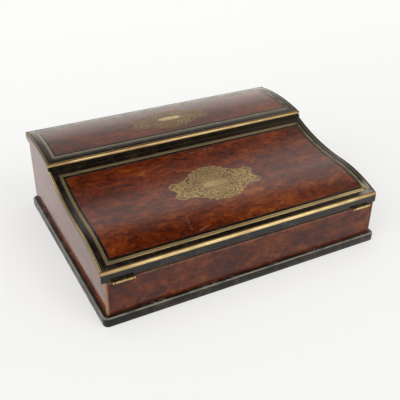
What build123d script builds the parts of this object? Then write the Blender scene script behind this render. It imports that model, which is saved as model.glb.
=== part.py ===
from build123d import *
import os
from math import cos, radians, sin, sqrt, tan

os.makedirs("parts", exist_ok=True)

# A French writing box of about 1870: a shaped slope flap hinged at the front edge, and a
# domed lid hinged at the back over the pen and ink compartment.
# The origin is on the floor at the middle of the plinth, +X to the right, +Y to the back.

# ---------------------------------------------------------------- driving sizes, millimetres
body_width = 340.0
body_depth = 262.0
wall = 9.0

plinth_height = 11.0
plinth_overhang = 5.0
plinth_corner_radius = 6.0
plinth_edge_radius = 2.5

bottom_thickness = 6.0
baize_thickness = 1.0
floor_lining_thickness = 0.8
lining_margin = 0.3

rim_front_height = 51.5
rim_slope = 11.5
lid_joint_height = 96.5
closing_gap = 0.2

corner_strip_front = 3.5
corner_strip_side = 3.0
corner_strip_radius = 2.0

panel_overhang = 3.0
skin_thickness = 1.2
edging_width = 3.0
edging_depth = 4.0
edging_radius = 1.5
side_band_width = 6.1
stringing_width = 3.3
line_width = 3.0
nosing_depth = 2.1
nosing_radius = 2.0

flap_front_setback = 1.25
flap_length = 162.35
flap_back_gap = 0.6
flap_nosing_height = 4.5
flap_front_band = 5.0
flap_back_band = 7.5
ogee_flat_distance = 69.0
ogee_flat_height = 78.9
ogee_convex_radius = 166.0
ogee_concave_radius = 250.0

lid_front_gap = 0.4
lid_back_setback = 1.0
lid_nosing_depth = 3.0
lid_nosing_height = 5.2
lid_front_band = 7.6
lid_back_band = 6.5
lid_back_lipping = 3.0
lid_back_radius = 2.5
lid_front_thickness = 8.86
crown_rise = 5.04
crown_back_drop = 3.76

cartouche_thickness = 0.8
flap_cartouche_width = 116.0
flap_cartouche_front_margin = 35.0
flap_cartouche_back_margin = 30.8
flap_bulge_width = 62.0
flap_wing_height = 20.0
flap_lobe_radius = 7.5
lid_cartouche_width = 110.0
lid_cartouche_front_margin = 3.7
lid_cartouche_back_margin = 9.0
lid_bulge_width = 58.0
lid_wing_height = 16.0
lid_lobe_radius = 6.0

leather_thickness = 0.8
leather_margin = 14.0

partition_thickness = 8.0
divider_thickness = 5.0
divider_height = 74.0
ink_well_width = 46.0

tray_width = 36.0
tray_thickness = 17.0
tray_lid_clearance = 8.7
trough_radius = 17.0
trough_depth = 10.0
trough_end_margin = 6.0

stand_height = 14.0
stand_recess_depth = 9.0
stand_margin = 3.0
stamp_recess_length = 30.0

bottle_width = 38.0
bottle_height = 34.0
bottle_corner_chamfer = 3.0
bottle_shoulder_chamfer = 4.0
bottle_clearance = 0.3
neck_diameter = 26.0
neck_height = 3.0
ink_bore_diameter = 19.0
ink_bore_depth = 31.0

collar_diameter = 30.0
collar_height = 3.5
cap_plate_thickness = 1.5
cap_dome_height = 5.0
cap_gap = 0.2
cap_hinge_width = 9.0
cap_barrel_radius = 1.5
cap_pin_radius = 0.6
cap_axis_standoff = 0.4

hinge_length = 18.5
hinge_corner_distance = 20.0
hinge_barrel_radius = 1.6
hinge_pin_radius = 0.75
hinge_barrel_gap = 0.1
hinge_leaf_thickness = 1.0
hinge_leaf_width = 10.4
hinge_bead_radius = 1.6
running_fit = 0.05
knuckle_gap = 0.2
leaf_fit = 0.1

screw_head_radius = 1.5
screw_shank_radius = 0.8
screw_length = 6.0
screw_distance = 8.2
screw_spacing = 11.0

# ---------------------------------------------------------------- places that follow from them
half_width = body_width / 2
front_y = -body_depth / 2
back_y = body_depth / 2
inner_half_width = half_width - wall
inner_front_y = front_y + wall
inner_back_y = back_y - wall

flap_front_y = front_y + flap_front_setback
flap_back_y = flap_front_y + flap_length
flap_field_front_y = flap_front_y + nosing_depth
partition_front_y = flap_back_y + flap_back_gap
partition_back_y = partition_front_y + partition_thickness
panel_half_width = half_width + panel_overhang
field_half_width = panel_half_width - edging_width

lid_front_y = flap_back_y + lid_front_gap
lid_back_y = back_y - lid_back_setback
lid_field_front_y = lid_front_y + lid_nosing_depth
lid_field_back_y = lid_back_y - lid_back_lipping
lid_under_height = lid_joint_height + closing_gap

crown_height = lid_under_height + lid_front_thickness + crown_rise
crown_share = sqrt(crown_rise) / (sqrt(crown_rise) + sqrt(crown_back_drop))
crown_y = lid_field_front_y + crown_share * (lid_field_back_y - lid_field_front_y)
crown_radius = ((crown_y - lid_field_front_y) ** 2 + crown_rise**2) / (2 * crown_rise)
tall = 2 * (crown_height + body_depth)

slope_tangent = tan(radians(rim_slope))
barrel_standoff = hinge_barrel_radius + hinge_barrel_gap


def rim_height(y):
    """Height of the sloping rim that the flap closes on."""
    return rim_front_height + slope_tangent * (y - front_y)


def flap_under_height(y):
    """Height of the flat underside of the flap."""
    return rim_height(y) + closing_gap / cos(radians(rim_slope))


def ogee(y, depth=0.0):
    """Height of the flap's shaped top, or of the curve parallel to it at a depth below."""
    run = y - (front_y + ogee_flat_distance)
    if run < 0:
        radius = ogee_convex_radius - depth
        return ogee_flat_height - ogee_convex_radius + sqrt(radius**2 - run**2)
    radius = ogee_concave_radius + depth
    return ogee_flat_height + ogee_concave_radius - sqrt(radius**2 - run**2)


def crown(y, depth=0.0):
    """Height of the lid's domed top, or of the curve parallel to it at a depth below."""
    run = y - crown_y
    return crown_height - crown_radius + sqrt((crown_radius - depth) ** 2 - run**2)


def save(piece, name):
    """Label one finished piece and write its STEP file."""
    piece.part.label = name
    export_step(piece.part, f"parts/{name}.step")


# ---------------------------------------------------------------- drawing helpers
def draw_curve(height, stations, depth):
    """Draw a shaped top in the YZ plane as one arc between each pair of stations."""
    for start, end in zip(stations, stations[1:]):
        middle = (start + end) / 2
        ThreePointArc(
            (start, height(start, depth)),
            (middle, height(middle, depth)),
            (end, height(end, depth)),
        )


def draw_layer(height, stations, top_depth, bottom_depth):
    """Draw the closed band between two parallel curves of a shaped top."""
    start, end = stations[0], stations[-1]
    draw_curve(height, stations, top_depth)
    Line((end, height(end, top_depth)), (end, height(end, bottom_depth)))
    draw_curve(height, stations, bottom_depth)
    Line((start, height(start, bottom_depth)), (start, height(start, top_depth)))


def draw_board(height, stations, depth, under):
    """Draw the closed profile from a flat underside up to a curve below the shaped top."""
    start, end = stations[0], stations[-1]
    draw_curve(height, stations, depth)
    Polyline(
        (end, height(end, depth)),
        (end, under(end)),
        (start, under(start)),
        (start, height(start, depth)),
    )


def plan_rectangle(half_x, y_min, y_max, mode=Mode.ADD):
    """Draw a rectangle in plan, centred on X and lying between two depths."""
    with Locations((0, (y_min + y_max) / 2)):
        Rectangle(2 * half_x, y_max - y_min, mode=mode)


def draw_cartouche(width, y_min, y_max, bulge_width, wing_height, lobe_radius):
    """Draw an inlaid cartouche in plan: an oval bulge between wings with two pairs of lobes."""
    end_x = width / 2 - lobe_radius
    y_centre = (y_min + y_max) / 2
    corners = [(x, y) for x in (-1, 1) for y in (-1, 1)]
    with Locations((0, y_centre)):
        Ellipse(bulge_width / 2, (y_max - y_min) / 2)
        Rectangle(2 * end_x, wing_height)
    for lobe_x in (end_x, end_x - 3 / 2 * lobe_radius):
        with Locations(*[(x * lobe_x, y_centre + y * wing_height / 2) for x, y in corners]):
            Circle(lobe_radius)


flap_stations = [flap_field_front_y, front_y + ogee_flat_distance, flap_back_y]
lid_stations = [lid_field_front_y, lid_field_back_y]

# Plan outlines of the inlaid borders, from the edging inwards.
flap_plan = [
    (field_half_width, flap_field_front_y, flap_back_y),
    (
        field_half_width - side_band_width,
        flap_field_front_y + flap_front_band,
        flap_back_y - flap_back_band,
    ),
]
lid_plan = [
    (field_half_width, lid_field_front_y, lid_field_back_y),
    (
        field_half_width - side_band_width,
        lid_field_front_y + lid_front_band,
        lid_field_back_y - lid_back_band,
    ),
]
for plan in (flap_plan, lid_plan):
    for border_width in (stringing_width, line_width):
        half_x, y_min, y_max = plan[-1]
        plan.append((half_x - border_width, y_min + border_width, y_max - border_width))


# ---------------------------------------------------------------- plinth and base
with BuildPart() as plinth_ring:
    with BuildSketch():
        RectangleRounded(
            body_width + 2 * plinth_overhang,
            body_depth + 2 * plinth_overhang,
            plinth_corner_radius,
        )
        Rectangle(2 * inner_half_width, inner_back_y - inner_front_y, mode=Mode.SUBTRACT)
    extrude(amount=plinth_height)
    top_edges = plinth_ring.faces().sort_by(Axis.Z)[-1].outer_wire().edges()
    fillet(top_edges, plinth_edge_radius)

outer_x = half_width + plinth_overhang
outer_y = back_y + plinth_overhang
rail_corners = {
    "plinth_front": ((-outer_x, -outer_y), (outer_x, -outer_y)),
    "plinth_back": ((outer_x, outer_y), (-outer_x, outer_y)),
    "plinth_left": ((-outer_x, outer_y), (-outer_x, -outer_y)),
    "plinth_right": ((outer_x, -outer_y), (outer_x, outer_y)),
}
mitre = plinth_overhang + wall
for name, (start, end) in rail_corners.items():
    inner_start = tuple(value - mitre * (1 if value > 0 else -1) for value in start)
    inner_end = tuple(value - mitre * (1 if value > 0 else -1) for value in end)
    with BuildPart() as plinth_rail:
        add(plinth_ring.part)
        with BuildSketch():
            with BuildLine():
                Polyline(start, end, inner_end, inner_start, close=True)
            make_face()
        extrude(amount=plinth_height, mode=Mode.INTERSECT)
    save(plinth_rail, name)

with BuildPart() as bottom_board:
    with BuildSketch(Plane.XY.offset(plinth_height - bottom_thickness)):
        plan_rectangle(inner_half_width, inner_front_y, inner_back_y)
    extrude(amount=bottom_thickness)
save(bottom_board, "bottom_board")

with BuildPart() as base_baize:
    with BuildSketch(Plane.XY.offset(plinth_height - bottom_thickness - baize_thickness)):
        plan_rectangle(
            inner_half_width - lining_margin,
            inner_front_y + lining_margin,
            inner_back_y - lining_margin,
        )
    extrude(amount=baize_thickness)
save(base_baize, "base_baize")

# ---------------------------------------------------------------- hinges
# A hinge plane has its origin on the hinge axis, its x direction along X, its y direction
# into the box and its z direction up out of the joint, halfway across the closing gap.
slope_sin = sin(radians(rim_slope))
slope_cos = cos(radians(rim_slope))
front_axis_y = front_y - barrel_standoff
back_axis_y = back_y + barrel_standoff
front_axis_z = rim_height(front_axis_y) + closing_gap / 2 / slope_cos
back_axis_z = lid_joint_height + closing_gap / 2
hinge_x = half_width - hinge_corner_distance


def hinge_plane(end, x):
    """Plane of the front hinge or of the back hinge that stands at x."""
    if end == "front":
        return Plane(
            origin=(x, front_axis_y, front_axis_z),
            x_dir=(1, 0, 0),
            z_dir=(0, -slope_sin, slope_cos),
        )
    return Plane(origin=(x, back_axis_y, back_axis_z), x_dir=(-1, 0, 0), z_dir=(0, 0, 1))


def leaf_floor(side):
    """Level of the leaf's face in the hinge plane, for the upper (+1) or lower (-1) leaf."""
    return side * closing_gap / 2


knuckle_length = (hinge_length - 2 * knuckle_gap) / 3
knuckle_pitch = knuckle_length + knuckle_gap
web_start = hinge_barrel_radius + knuckle_gap


def make_leaf(plane, side, knuckle_places):
    """One hinge leaf: a plate let into the wood, with its knuckles and countersunk holes."""
    start_level = min(leaf_floor(side), leaf_floor(side) + side * hinge_leaf_thickness)
    with BuildPart() as leaf:
        with BuildSketch(plane.offset(start_level)):
            with Locations((0, (web_start + hinge_leaf_width) / 2)):
                Rectangle(hinge_length, hinge_leaf_width - web_start)
            with Locations(*[(place * knuckle_pitch, web_start / 2) for place in knuckle_places]):
                Rectangle(knuckle_length, web_start)
        extrude(amount=hinge_leaf_thickness)
        for place in knuckle_places:
            knuckle_start = place * knuckle_pitch - knuckle_length / 2
            knuckle_plane = Plane(
                origin=plane.from_local_coords((knuckle_start, 0, 0)),
                x_dir=plane.y_dir,
                z_dir=plane.x_dir,
            )
            with BuildSketch(knuckle_plane):
                Circle(hinge_barrel_radius)
            extrude(amount=knuckle_length)
        bore_plane = Plane(
            origin=plane.from_local_coords((-hinge_length / 2, 0, 0)),
            x_dir=plane.y_dir,
            z_dir=plane.x_dir,
        )
        with BuildSketch(bore_plane):
            Circle(hinge_pin_radius + running_fit)
        extrude(amount=hinge_length, mode=Mode.SUBTRACT)
        with Locations(*screw_planes(plane, side)):
            CounterSinkHole(
                screw_shank_radius + running_fit,
                screw_head_radius + running_fit,
                depth=hinge_leaf_thickness,
                counter_sink_angle=90,
            )
    return leaf


def screw_planes(plane, side):
    """Planes of a leaf's screws, on the leaf's open face with z pointing out of the wood."""
    places = [
        plane.from_local_coords((place * screw_spacing / 2, screw_distance, leaf_floor(side)))
        for place in (-1, 1)
    ]
    out_of_wood = plane.z_dir * -side
    return [Plane(origin=place, x_dir=plane.x_dir, z_dir=out_of_wood) for place in places]


def make_screws(planes):
    """Countersunk wood screws, one solid on each plane."""
    with BuildPart() as screws:
        for screw_plane in planes:
            section = Plane(
                origin=screw_plane.origin, x_dir=screw_plane.x_dir, z_dir=-screw_plane.y_dir
            )
            cone_depth = screw_head_radius - screw_shank_radius
            with BuildSketch(section):
                with BuildLine():
                    Polyline(
                        (0, 0),
                        (screw_head_radius, 0),
                        (screw_shank_radius, -cone_depth),
                        (screw_shank_radius, -screw_length + screw_shank_radius),
                        (0, -screw_length),
                        close=True,
                    )
                make_face()
            revolve(axis=Axis(screw_plane.origin, screw_plane.z_dir))
    return screws


def cut_screw_holes(planes):
    """Cut the pilot holes of a leaf's screws out of the part being built."""
    with Locations(*planes):
        Hole(screw_shank_radius + running_fit, depth=screw_length + running_fit)


def cut_leaf_recess(plane, side):
    """Cut the recess that one leaf is let into out of the part being built."""
    level = leaf_floor(side) if side > 0 else leaf_floor(side) - hinge_leaf_thickness - leaf_fit
    with BuildSketch(plane.offset(level)) as recess:
        with Locations((0, (hinge_leaf_width + leaf_fit) / 2)):
            Rectangle(hinge_length + 2 * leaf_fit, hinge_leaf_width + leaf_fit)
    extrude(recess.sketch, amount=hinge_leaf_thickness + leaf_fit, mode=Mode.SUBTRACT)


def make_pins(planes):
    """Hinge pins with a turned bead on each end, one solid in each hinge plane."""
    bead_x = hinge_length / 2 + knuckle_gap + hinge_bead_radius
    rod_x = bead_x - sqrt(hinge_bead_radius**2 - hinge_pin_radius**2)
    tip_x = bead_x + hinge_bead_radius
    with BuildPart() as pins:
        for plane in planes:
            with BuildSketch(plane):
                with BuildLine():
                    ThreePointArc((-tip_x, 0), (-bead_x, hinge_bead_radius), (-rod_x, hinge_pin_radius))
                    Line((-rod_x, hinge_pin_radius), (rod_x, hinge_pin_radius))
                    ThreePointArc((rod_x, hinge_pin_radius), (bead_x, hinge_bead_radius), (tip_x, 0))
                    Line((tip_x, 0), (-tip_x, 0))
                make_face()
            revolve(axis=Axis(plane.origin, plane.x_dir))
    return pins


outer_knuckles = (-1, 1)
middle_knuckle = (0,)
sides = {"left": -1, "right": 1}
hinge_planes = {
    end: [hinge_plane(end, direction * hinge_x) for direction in sides.values()]
    for end in ("front", "back")
}
for end, panel in (("front", "flap"), ("back", "lid")):
    for side_name, plane in zip(sides, hinge_planes[end]):
        save(make_leaf(plane, -1, outer_knuckles), f"{end}_hinge_box_leaf_{side_name}")
        save(make_leaf(plane, 1, middle_knuckle), f"{panel}_hinge_leaf_{side_name}")
    save(make_pins(hinge_planes[end]), f"{end}_hinge_pins")

screw_places = {
    (end, side): [place for plane in hinge_planes[end] for place in screw_planes(plane, side)]
    for end in ("front", "back")
    for side in (-1, 1)
}
box_screw_places = screw_places["front", -1] + screw_places["back", -1]
save(make_screws(box_screw_places), "box_hinge_screws")
save(make_screws(screw_places["front", 1]), "flap_hinge_screws")
save(make_screws(screw_places["back", 1]), "lid_hinge_screws")

# ---------------------------------------------------------------- carcase
with BuildPart() as front_panel:
    with BuildSketch(Plane.YZ):
        with BuildLine():
            Polyline(
                (front_y, plinth_height),
                (inner_front_y, plinth_height),
                (inner_front_y, rim_height(inner_front_y)),
                (front_y, rim_height(front_y)),
                close=True,
            )
        make_face()
    extrude(amount=half_width, both=True)
    with BuildSketch():
        for direction in (-1, 1):
            with Locations(
                (
                    direction * (half_width - corner_strip_front / 2),
                    front_y + corner_strip_side / 2,
                )
            ):
                Rectangle(corner_strip_front, corner_strip_side)
    extrude(amount=tall, mode=Mode.SUBTRACT)
    for plane in hinge_planes["front"]:
        cut_leaf_recess(plane, -1)
    cut_screw_holes(screw_places["front", -1])
save(front_panel, "front_panel")

with BuildPart() as corner_strips:
    with BuildSketch(Plane.YZ):
        with BuildLine():
            Polyline(
                (front_y, plinth_height),
                (front_y + corner_strip_side, plinth_height),
                (front_y + corner_strip_side, rim_height(front_y + corner_strip_side)),
                (front_y, rim_height(front_y)),
                close=True,
            )
        make_face()
    extrude(amount=half_width, both=True)
    with BuildSketch():
        plan_rectangle(half_width - corner_strip_front, 2 * front_y, 0)
    extrude(amount=tall, mode=Mode.SUBTRACT)
    front_uprights = corner_strips.edges().filter_by(Axis.Z).group_by(Axis.Y)[0].sort_by(Axis.X)
    fillet([front_uprights[0], front_uprights[-1]], corner_strip_radius)
save(corner_strips, "corner_strips")

for side_name, direction in sides.items():
    with BuildPart() as side_board:
        with BuildSketch(Plane.YZ.offset(min(direction * half_width, direction * inner_half_width))):
            with BuildLine():
                Polyline(
                    (inner_front_y, plinth_height),
                    (inner_back_y, plinth_height),
                    (inner_back_y, lid_joint_height),
                    (partition_front_y, lid_joint_height),
                    (partition_front_y, rim_height(partition_front_y)),
                    (inner_front_y, rim_height(inner_front_y)),
                    close=True,
                )
            make_face()
        extrude(amount=wall)
    save(side_board, f"{side_name}_side")

with BuildPart() as back_panel:
    with BuildSketch(Plane.XY.offset(plinth_height)):
        plan_rectangle(half_width, inner_back_y, back_y)
    extrude(amount=lid_joint_height - plinth_height)
    for plane in hinge_planes["back"]:
        cut_leaf_recess(plane, -1)
    cut_screw_holes(screw_places["back", -1])
save(back_panel, "back_panel")

with BuildPart() as partition:
    with BuildSketch(Plane.XY.offset(plinth_height)):
        plan_rectangle(inner_half_width, partition_front_y, partition_back_y)
    extrude(amount=lid_joint_height - plinth_height)
save(partition, "partition")

with BuildPart() as paper_lining:
    with BuildSketch(Plane.XY.offset(plinth_height)):
        plan_rectangle(
            inner_half_width - lining_margin,
            inner_front_y + lining_margin,
            partition_front_y - lining_margin,
        )
    extrude(amount=floor_lining_thickness)
save(paper_lining, "paper_lining")

# ---------------------------------------------------------------- pen and ink compartment
divider_x = inner_half_width - ink_well_width - divider_thickness / 2
bay_half_width = divider_x - divider_thickness / 2

for side_name, direction in sides.items():
    with BuildPart() as divider:
        with BuildSketch(Plane.XY.offset(plinth_height)):
            with Locations((direction * divider_x, (partition_back_y + inner_back_y) / 2)):
                Rectangle(divider_thickness, inner_back_y - partition_back_y)
        extrude(amount=divider_height)
    save(divider, f"divider_{side_name}")

tray_top_height = lid_under_height - tray_lid_clearance
tray_bottom_height = tray_top_height - tray_thickness
tray_centre_y = partition_back_y + tray_width / 2
with BuildPart() as pen_tray:
    with BuildSketch(Plane.XY.offset(tray_bottom_height)):
        plan_rectangle(bay_half_width, partition_back_y, partition_back_y + tray_width)
    extrude(amount=tray_thickness)
    trough_start = Plane.YZ.offset(trough_end_margin - bay_half_width)
    with BuildSketch(trough_start):
        with Locations((tray_centre_y, tray_top_height - trough_depth + trough_radius)):
            Circle(trough_radius)
    extrude(amount=2 * (bay_half_width - trough_end_margin), mode=Mode.SUBTRACT)
save(pen_tray, "pen_tray")

stand_x = inner_half_width - ink_well_width / 2
recess_size = bottle_width + 2 * bottle_clearance
bottle_y = partition_back_y + stand_margin + recess_size / 2
stamp_centre_y = inner_back_y - stand_margin - stamp_recess_length / 2
stand_top = plinth_height + stand_height
bottle_base = stand_top - stand_recess_depth
collar_base = bottle_base + bottle_height
collar_top = collar_base + collar_height
cap_base = collar_top + cap_gap
cap_axis_y = bottle_y + collar_diameter / 2 + cap_barrel_radius + cap_axis_standoff
cap_axis_z = collar_top + cap_gap / 2
cap_knuckle = (cap_hinge_width - 2 * knuckle_gap) / 3
cap_pitch = cap_knuckle + knuckle_gap


def draw_ink_barrel(places, x):
    """Add the barrel knuckles of an ink cap's hinge."""
    for place in places:
        with BuildSketch(Plane.YZ.offset(x + place * cap_pitch - cap_knuckle / 2)) as knuckle:
            with Locations((cap_axis_y, cap_axis_z)):
                Circle(cap_barrel_radius)
        extrude(knuckle.sketch, amount=cap_knuckle)


def draw_ink_webs(places, x, level, thickness):
    """Add the plates that carry the knuckles, from the round body out to the axis."""
    with BuildSketch(Plane.XY.offset(level)) as webs:
        with Locations(*[(x + place * cap_pitch, (bottle_y + cap_axis_y) / 2) for place in places]):
            Rectangle(cap_knuckle, cap_axis_y - bottle_y)
    extrude(webs.sketch, amount=thickness)


def cut_ink_pin(x):
    """Bore the pin hole through an ink cap's hinge."""
    with BuildSketch(Plane.YZ.offset(x - cap_hinge_width)) as bore:
        with Locations((cap_axis_y, cap_axis_z)):
            Circle(cap_pin_radius + running_fit)
    extrude(bore.sketch, amount=2 * cap_hinge_width, mode=Mode.SUBTRACT)


for side_name, direction in sides.items():
    x = direction * stand_x
    with BuildPart() as stand:
        with BuildSketch(Plane.XY.offset(plinth_height)):
            with Locations((x, (partition_back_y + inner_back_y) / 2)):
                Rectangle(ink_well_width, inner_back_y - partition_back_y)
        extrude(amount=stand_height)
        with BuildSketch(Plane.XY.offset(bottle_base)):
            with Locations((x, bottle_y)):
                Rectangle(recess_size, recess_size)
            with Locations((x, stamp_centre_y)):
                Rectangle(recess_size, stamp_recess_length)
        extrude(amount=stand_recess_depth, mode=Mode.SUBTRACT)
    save(stand, f"ink_stand_{side_name}")

    with BuildPart() as bottle:
        with BuildSketch(Plane.XY.offset(bottle_base)):
            with Locations((x, bottle_y)):
                Rectangle(bottle_width, bottle_width)
        extrude(amount=bottle_height)
        chamfer(bottle.edges().filter_by(Axis.Z), bottle_corner_chamfer)
        chamfer(bottle.faces().sort_by(Axis.Z)[-1].edges(), bottle_shoulder_chamfer)
        with BuildSketch(Plane.XY.offset(collar_base)):
            with Locations((x, bottle_y)):
                Circle(neck_diameter / 2)
        extrude(amount=neck_height)
        with BuildSketch(Plane.XY.offset(collar_base + neck_height)):
            with Locations((x, bottle_y)):
                Circle(ink_bore_diameter / 2)
        extrude(amount=-ink_bore_depth, mode=Mode.SUBTRACT)
    save(bottle, f"ink_bottle_{side_name}")

    with BuildPart() as collar:
        with BuildSketch(Plane.XY.offset(collar_base)):
            with Locations((x, bottle_y)):
                Circle(collar_diameter / 2)
        extrude(amount=collar_height)
        draw_ink_webs((-1, 1), x, collar_top - cap_plate_thickness, cap_plate_thickness)
        draw_ink_barrel((-1, 1), x)
        cut_ink_pin(x)
        with BuildSketch(Plane.XY.offset(collar_base)):
            with Locations((x, bottle_y)):
                Circle(neck_diameter / 2 + running_fit)
        extrude(amount=collar_height, mode=Mode.SUBTRACT)
    save(collar, f"ink_collar_{side_name}")

    dome_radius = ((neck_diameter / 2) ** 2 + cap_dome_height**2) / (2 * cap_dome_height)
    dome_base = cap_base + cap_plate_thickness
    with BuildPart() as cap:
        with BuildSketch(Plane.XY.offset(cap_base)):
            with Locations((x, bottle_y)):
                Circle(collar_diameter / 2)
        extrude(amount=cap_plate_thickness)
        with BuildSketch(Plane.XZ.offset(-bottle_y)):
            with BuildLine():
                Line((x, dome_base), (x + neck_diameter / 2, dome_base))
                RadiusArc(
                    (x + neck_diameter / 2, dome_base),
                    (x, dome_base + cap_dome_height),
                    -dome_radius,
                )
                Line((x, dome_base + cap_dome_height), (x, dome_base))
            make_face()
        revolve(axis=Axis((x, bottle_y, 0), (0, 0, 1)))
        draw_ink_webs((0,), x, cap_base, cap_plate_thickness)
        draw_ink_barrel((0,), x)
        cut_ink_pin(x)
    save(cap, f"ink_cap_{side_name}")

with BuildPart() as ink_cap_pins:
    for direction in (-1, 1):
        with BuildSketch(Plane.YZ.offset(direction * stand_x - cap_hinge_width / 2)):
            with Locations((cap_axis_y, cap_axis_z)):
                Circle(cap_pin_radius)
        extrude(amount=cap_hinge_width)
save(ink_cap_pins, "ink_cap_pins")


# ---------------------------------------------------------------- shaped panels
def make_ring(height, stations, outer, inner):
    """One inlaid border: the skin of a shaped top between two plan rectangles."""
    with BuildPart() as ring:
        with BuildSketch(Plane.YZ):
            with BuildLine():
                draw_layer(height, stations, 0, skin_thickness)
            make_face()
        extrude(amount=panel_half_width, both=True)
        with BuildSketch():
            plan_rectangle(*outer)
            plan_rectangle(*inner, mode=Mode.SUBTRACT)
        extrude(amount=tall, mode=Mode.INTERSECT)
    return ring


def make_cartouche(height, stations, outline):
    """The brass cartouche let into the veneer of a shaped top."""
    with BuildPart() as cartouche:
        with BuildSketch(Plane.YZ):
            with BuildLine():
                draw_layer(height, stations, 0, cartouche_thickness)
            make_face()
        extrude(amount=panel_half_width, both=True)
        with BuildSketch():
            draw_cartouche(*outline)
        extrude(amount=tall, mode=Mode.INTERSECT)
    return cartouche


def make_veneer(height, stations, outline, cartouche):
    """The burr veneer inside the borders, with the pocket of its cartouche."""
    with BuildPart() as veneer:
        with BuildSketch(Plane.YZ):
            with BuildLine():
                draw_layer(height, stations, 0, skin_thickness)
            make_face()
        extrude(amount=panel_half_width, both=True)
        with BuildSketch():
            plan_rectangle(*outline)
        extrude(amount=tall, mode=Mode.INTERSECT)
        add(cartouche.part, mode=Mode.SUBTRACT)
    return veneer


def make_edging(height, stations):
    """The brass mouldings along both side edges of a shaped panel, swept along its curve."""
    start, end = stations[0], stations[-1]
    swept_stations = [start - edging_depth, *stations[1:-1], end + edging_depth]
    with BuildPart() as edging:
        with BuildLine(Plane.YZ) as path:
            draw_curve(height, swept_stations, 0)
        section = Plane(origin=path.line @ 0, x_dir=(1, 0, 0), z_dir=-(path.line % 0))
        with BuildSketch(section) as profile:
            for direction in (-1, 1):
                edging_x = direction * (panel_half_width - edging_width / 2)
                with Locations((edging_x, -edging_depth / 2)):
                    Rectangle(edging_width, edging_depth)
            upper_corners = profile.vertices().group_by(Axis.Y)[-1].sort_by(Axis.X)
            fillet([upper_corners[0], upper_corners[-1]], edging_radius)
        sweep(path=path.line)
        with BuildSketch():
            plan_rectangle(panel_half_width, start, end)
        extrude(amount=tall, mode=Mode.INTERSECT)
    return edging


def build_board(height, stations, under):
    """Add a shaped board under the skin, full width below the side edgings."""
    for depth, half_x in ((edging_depth, panel_half_width), (skin_thickness, field_half_width)):
        with BuildSketch(Plane.YZ) as section:
            with BuildLine():
                draw_board(height, stations, depth, under)
            make_face()
        extrude(section.sketch, amount=half_x, both=True)


# ---------------------------------------------------------------- slope flap
flap_plane = Plane(
    origin=(0, front_y, flap_under_height(front_y)),
    x_dir=(1, 0, 0),
    z_dir=(0, -slope_sin, slope_cos),
)
flap_run = flap_length / slope_cos
flap_start = flap_front_setback / slope_cos
flap_nosing_top = ogee(flap_field_front_y)
flap_nosing_bottom = flap_nosing_top - flap_nosing_height

with BuildPart() as flap_leather:
    with BuildSketch(flap_plane):
        plan_rectangle(
            half_width - leather_margin,
            flap_start + leather_margin,
            flap_start + flap_run - leather_margin,
        )
    extrude(amount=leather_thickness)
save(flap_leather, "flap_leather")

with BuildPart() as flap_board:
    build_board(ogee, flap_stations, flap_under_height)
    add(flap_leather.part, mode=Mode.SUBTRACT)
    for plane in hinge_planes["front"]:
        cut_leaf_recess(plane, 1)
    cut_screw_holes(screw_places["front", 1])
save(flap_board, "flap_board")

with BuildPart() as flap_front_lipping:
    with BuildSketch(Plane.YZ):
        with BuildLine():
            Polyline(
                (flap_front_y, flap_under_height(flap_front_y)),
                (flap_field_front_y, flap_under_height(flap_field_front_y)),
                (flap_field_front_y, flap_nosing_bottom),
                (flap_front_y, flap_nosing_bottom),
                close=True,
            )
        make_face()
    extrude(amount=panel_half_width, both=True)
    for plane in hinge_planes["front"]:
        cut_leaf_recess(plane, 1)
    cut_screw_holes(screw_places["front", 1])
save(flap_front_lipping, "flap_front_lipping")

with BuildPart() as flap_nosing:
    with BuildSketch(Plane.YZ):
        with Locations((flap_front_y, flap_nosing_bottom)):
            Rectangle(nosing_depth, flap_nosing_height, align=(Align.MIN, Align.MIN))
    extrude(amount=panel_half_width, both=True)
    fillet(flap_nosing.edges().filter_by(Axis.X).group_by(Axis.Z)[-1].sort_by(Axis.Y)[0], nosing_radius)
save(flap_nosing, "flap_nosing")

save(make_edging(ogee, flap_stations), "flap_side_edgings")
save(make_ring(ogee, flap_stations, flap_plan[0], flap_plan[1]), "flap_border")
save(make_ring(ogee, flap_stations, flap_plan[1], flap_plan[2]), "flap_stringing")
save(make_ring(ogee, flap_stations, flap_plan[2], flap_plan[3]), "flap_inner_line")
flap_veneer_plan = flap_plan[-1]
flap_cartouche_outline = (
    flap_cartouche_width,
    flap_veneer_plan[1] + flap_cartouche_front_margin,
    flap_veneer_plan[2] - flap_cartouche_back_margin,
    flap_bulge_width,
    flap_wing_height,
    flap_lobe_radius,
)
flap_cartouche = make_cartouche(ogee, flap_stations, flap_cartouche_outline)
save(flap_cartouche, "flap_cartouche")
save(make_veneer(ogee, flap_stations, flap_veneer_plan, flap_cartouche), "flap_veneer")


# ---------------------------------------------------------------- domed lid
def lid_under(y):
    """Height of the flat underside of the lid."""
    return lid_under_height


lid_nosing_top = crown(lid_field_front_y)
lid_nosing_bottom = lid_nosing_top - lid_nosing_height

with BuildPart() as lid_leather:
    with BuildSketch(Plane.XY.offset(lid_under_height)):
        plan_rectangle(
            half_width - leather_margin,
            lid_front_y + leather_margin,
            lid_back_y - leather_margin,
        )
    extrude(amount=leather_thickness)
save(lid_leather, "lid_leather")

with BuildPart() as lid_board:
    build_board(crown, lid_stations, lid_under)
    add(lid_leather.part, mode=Mode.SUBTRACT)
    for plane in hinge_planes["back"]:
        cut_leaf_recess(plane, 1)
    cut_screw_holes(screw_places["back", 1])
save(lid_board, "lid_board")

with BuildPart() as lid_front_lipping:
    with BuildSketch(Plane.XY.offset(lid_under_height)):
        plan_rectangle(panel_half_width, lid_front_y, lid_field_front_y)
    extrude(amount=lid_nosing_bottom - lid_under_height)
save(lid_front_lipping, "lid_front_lipping")

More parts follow.
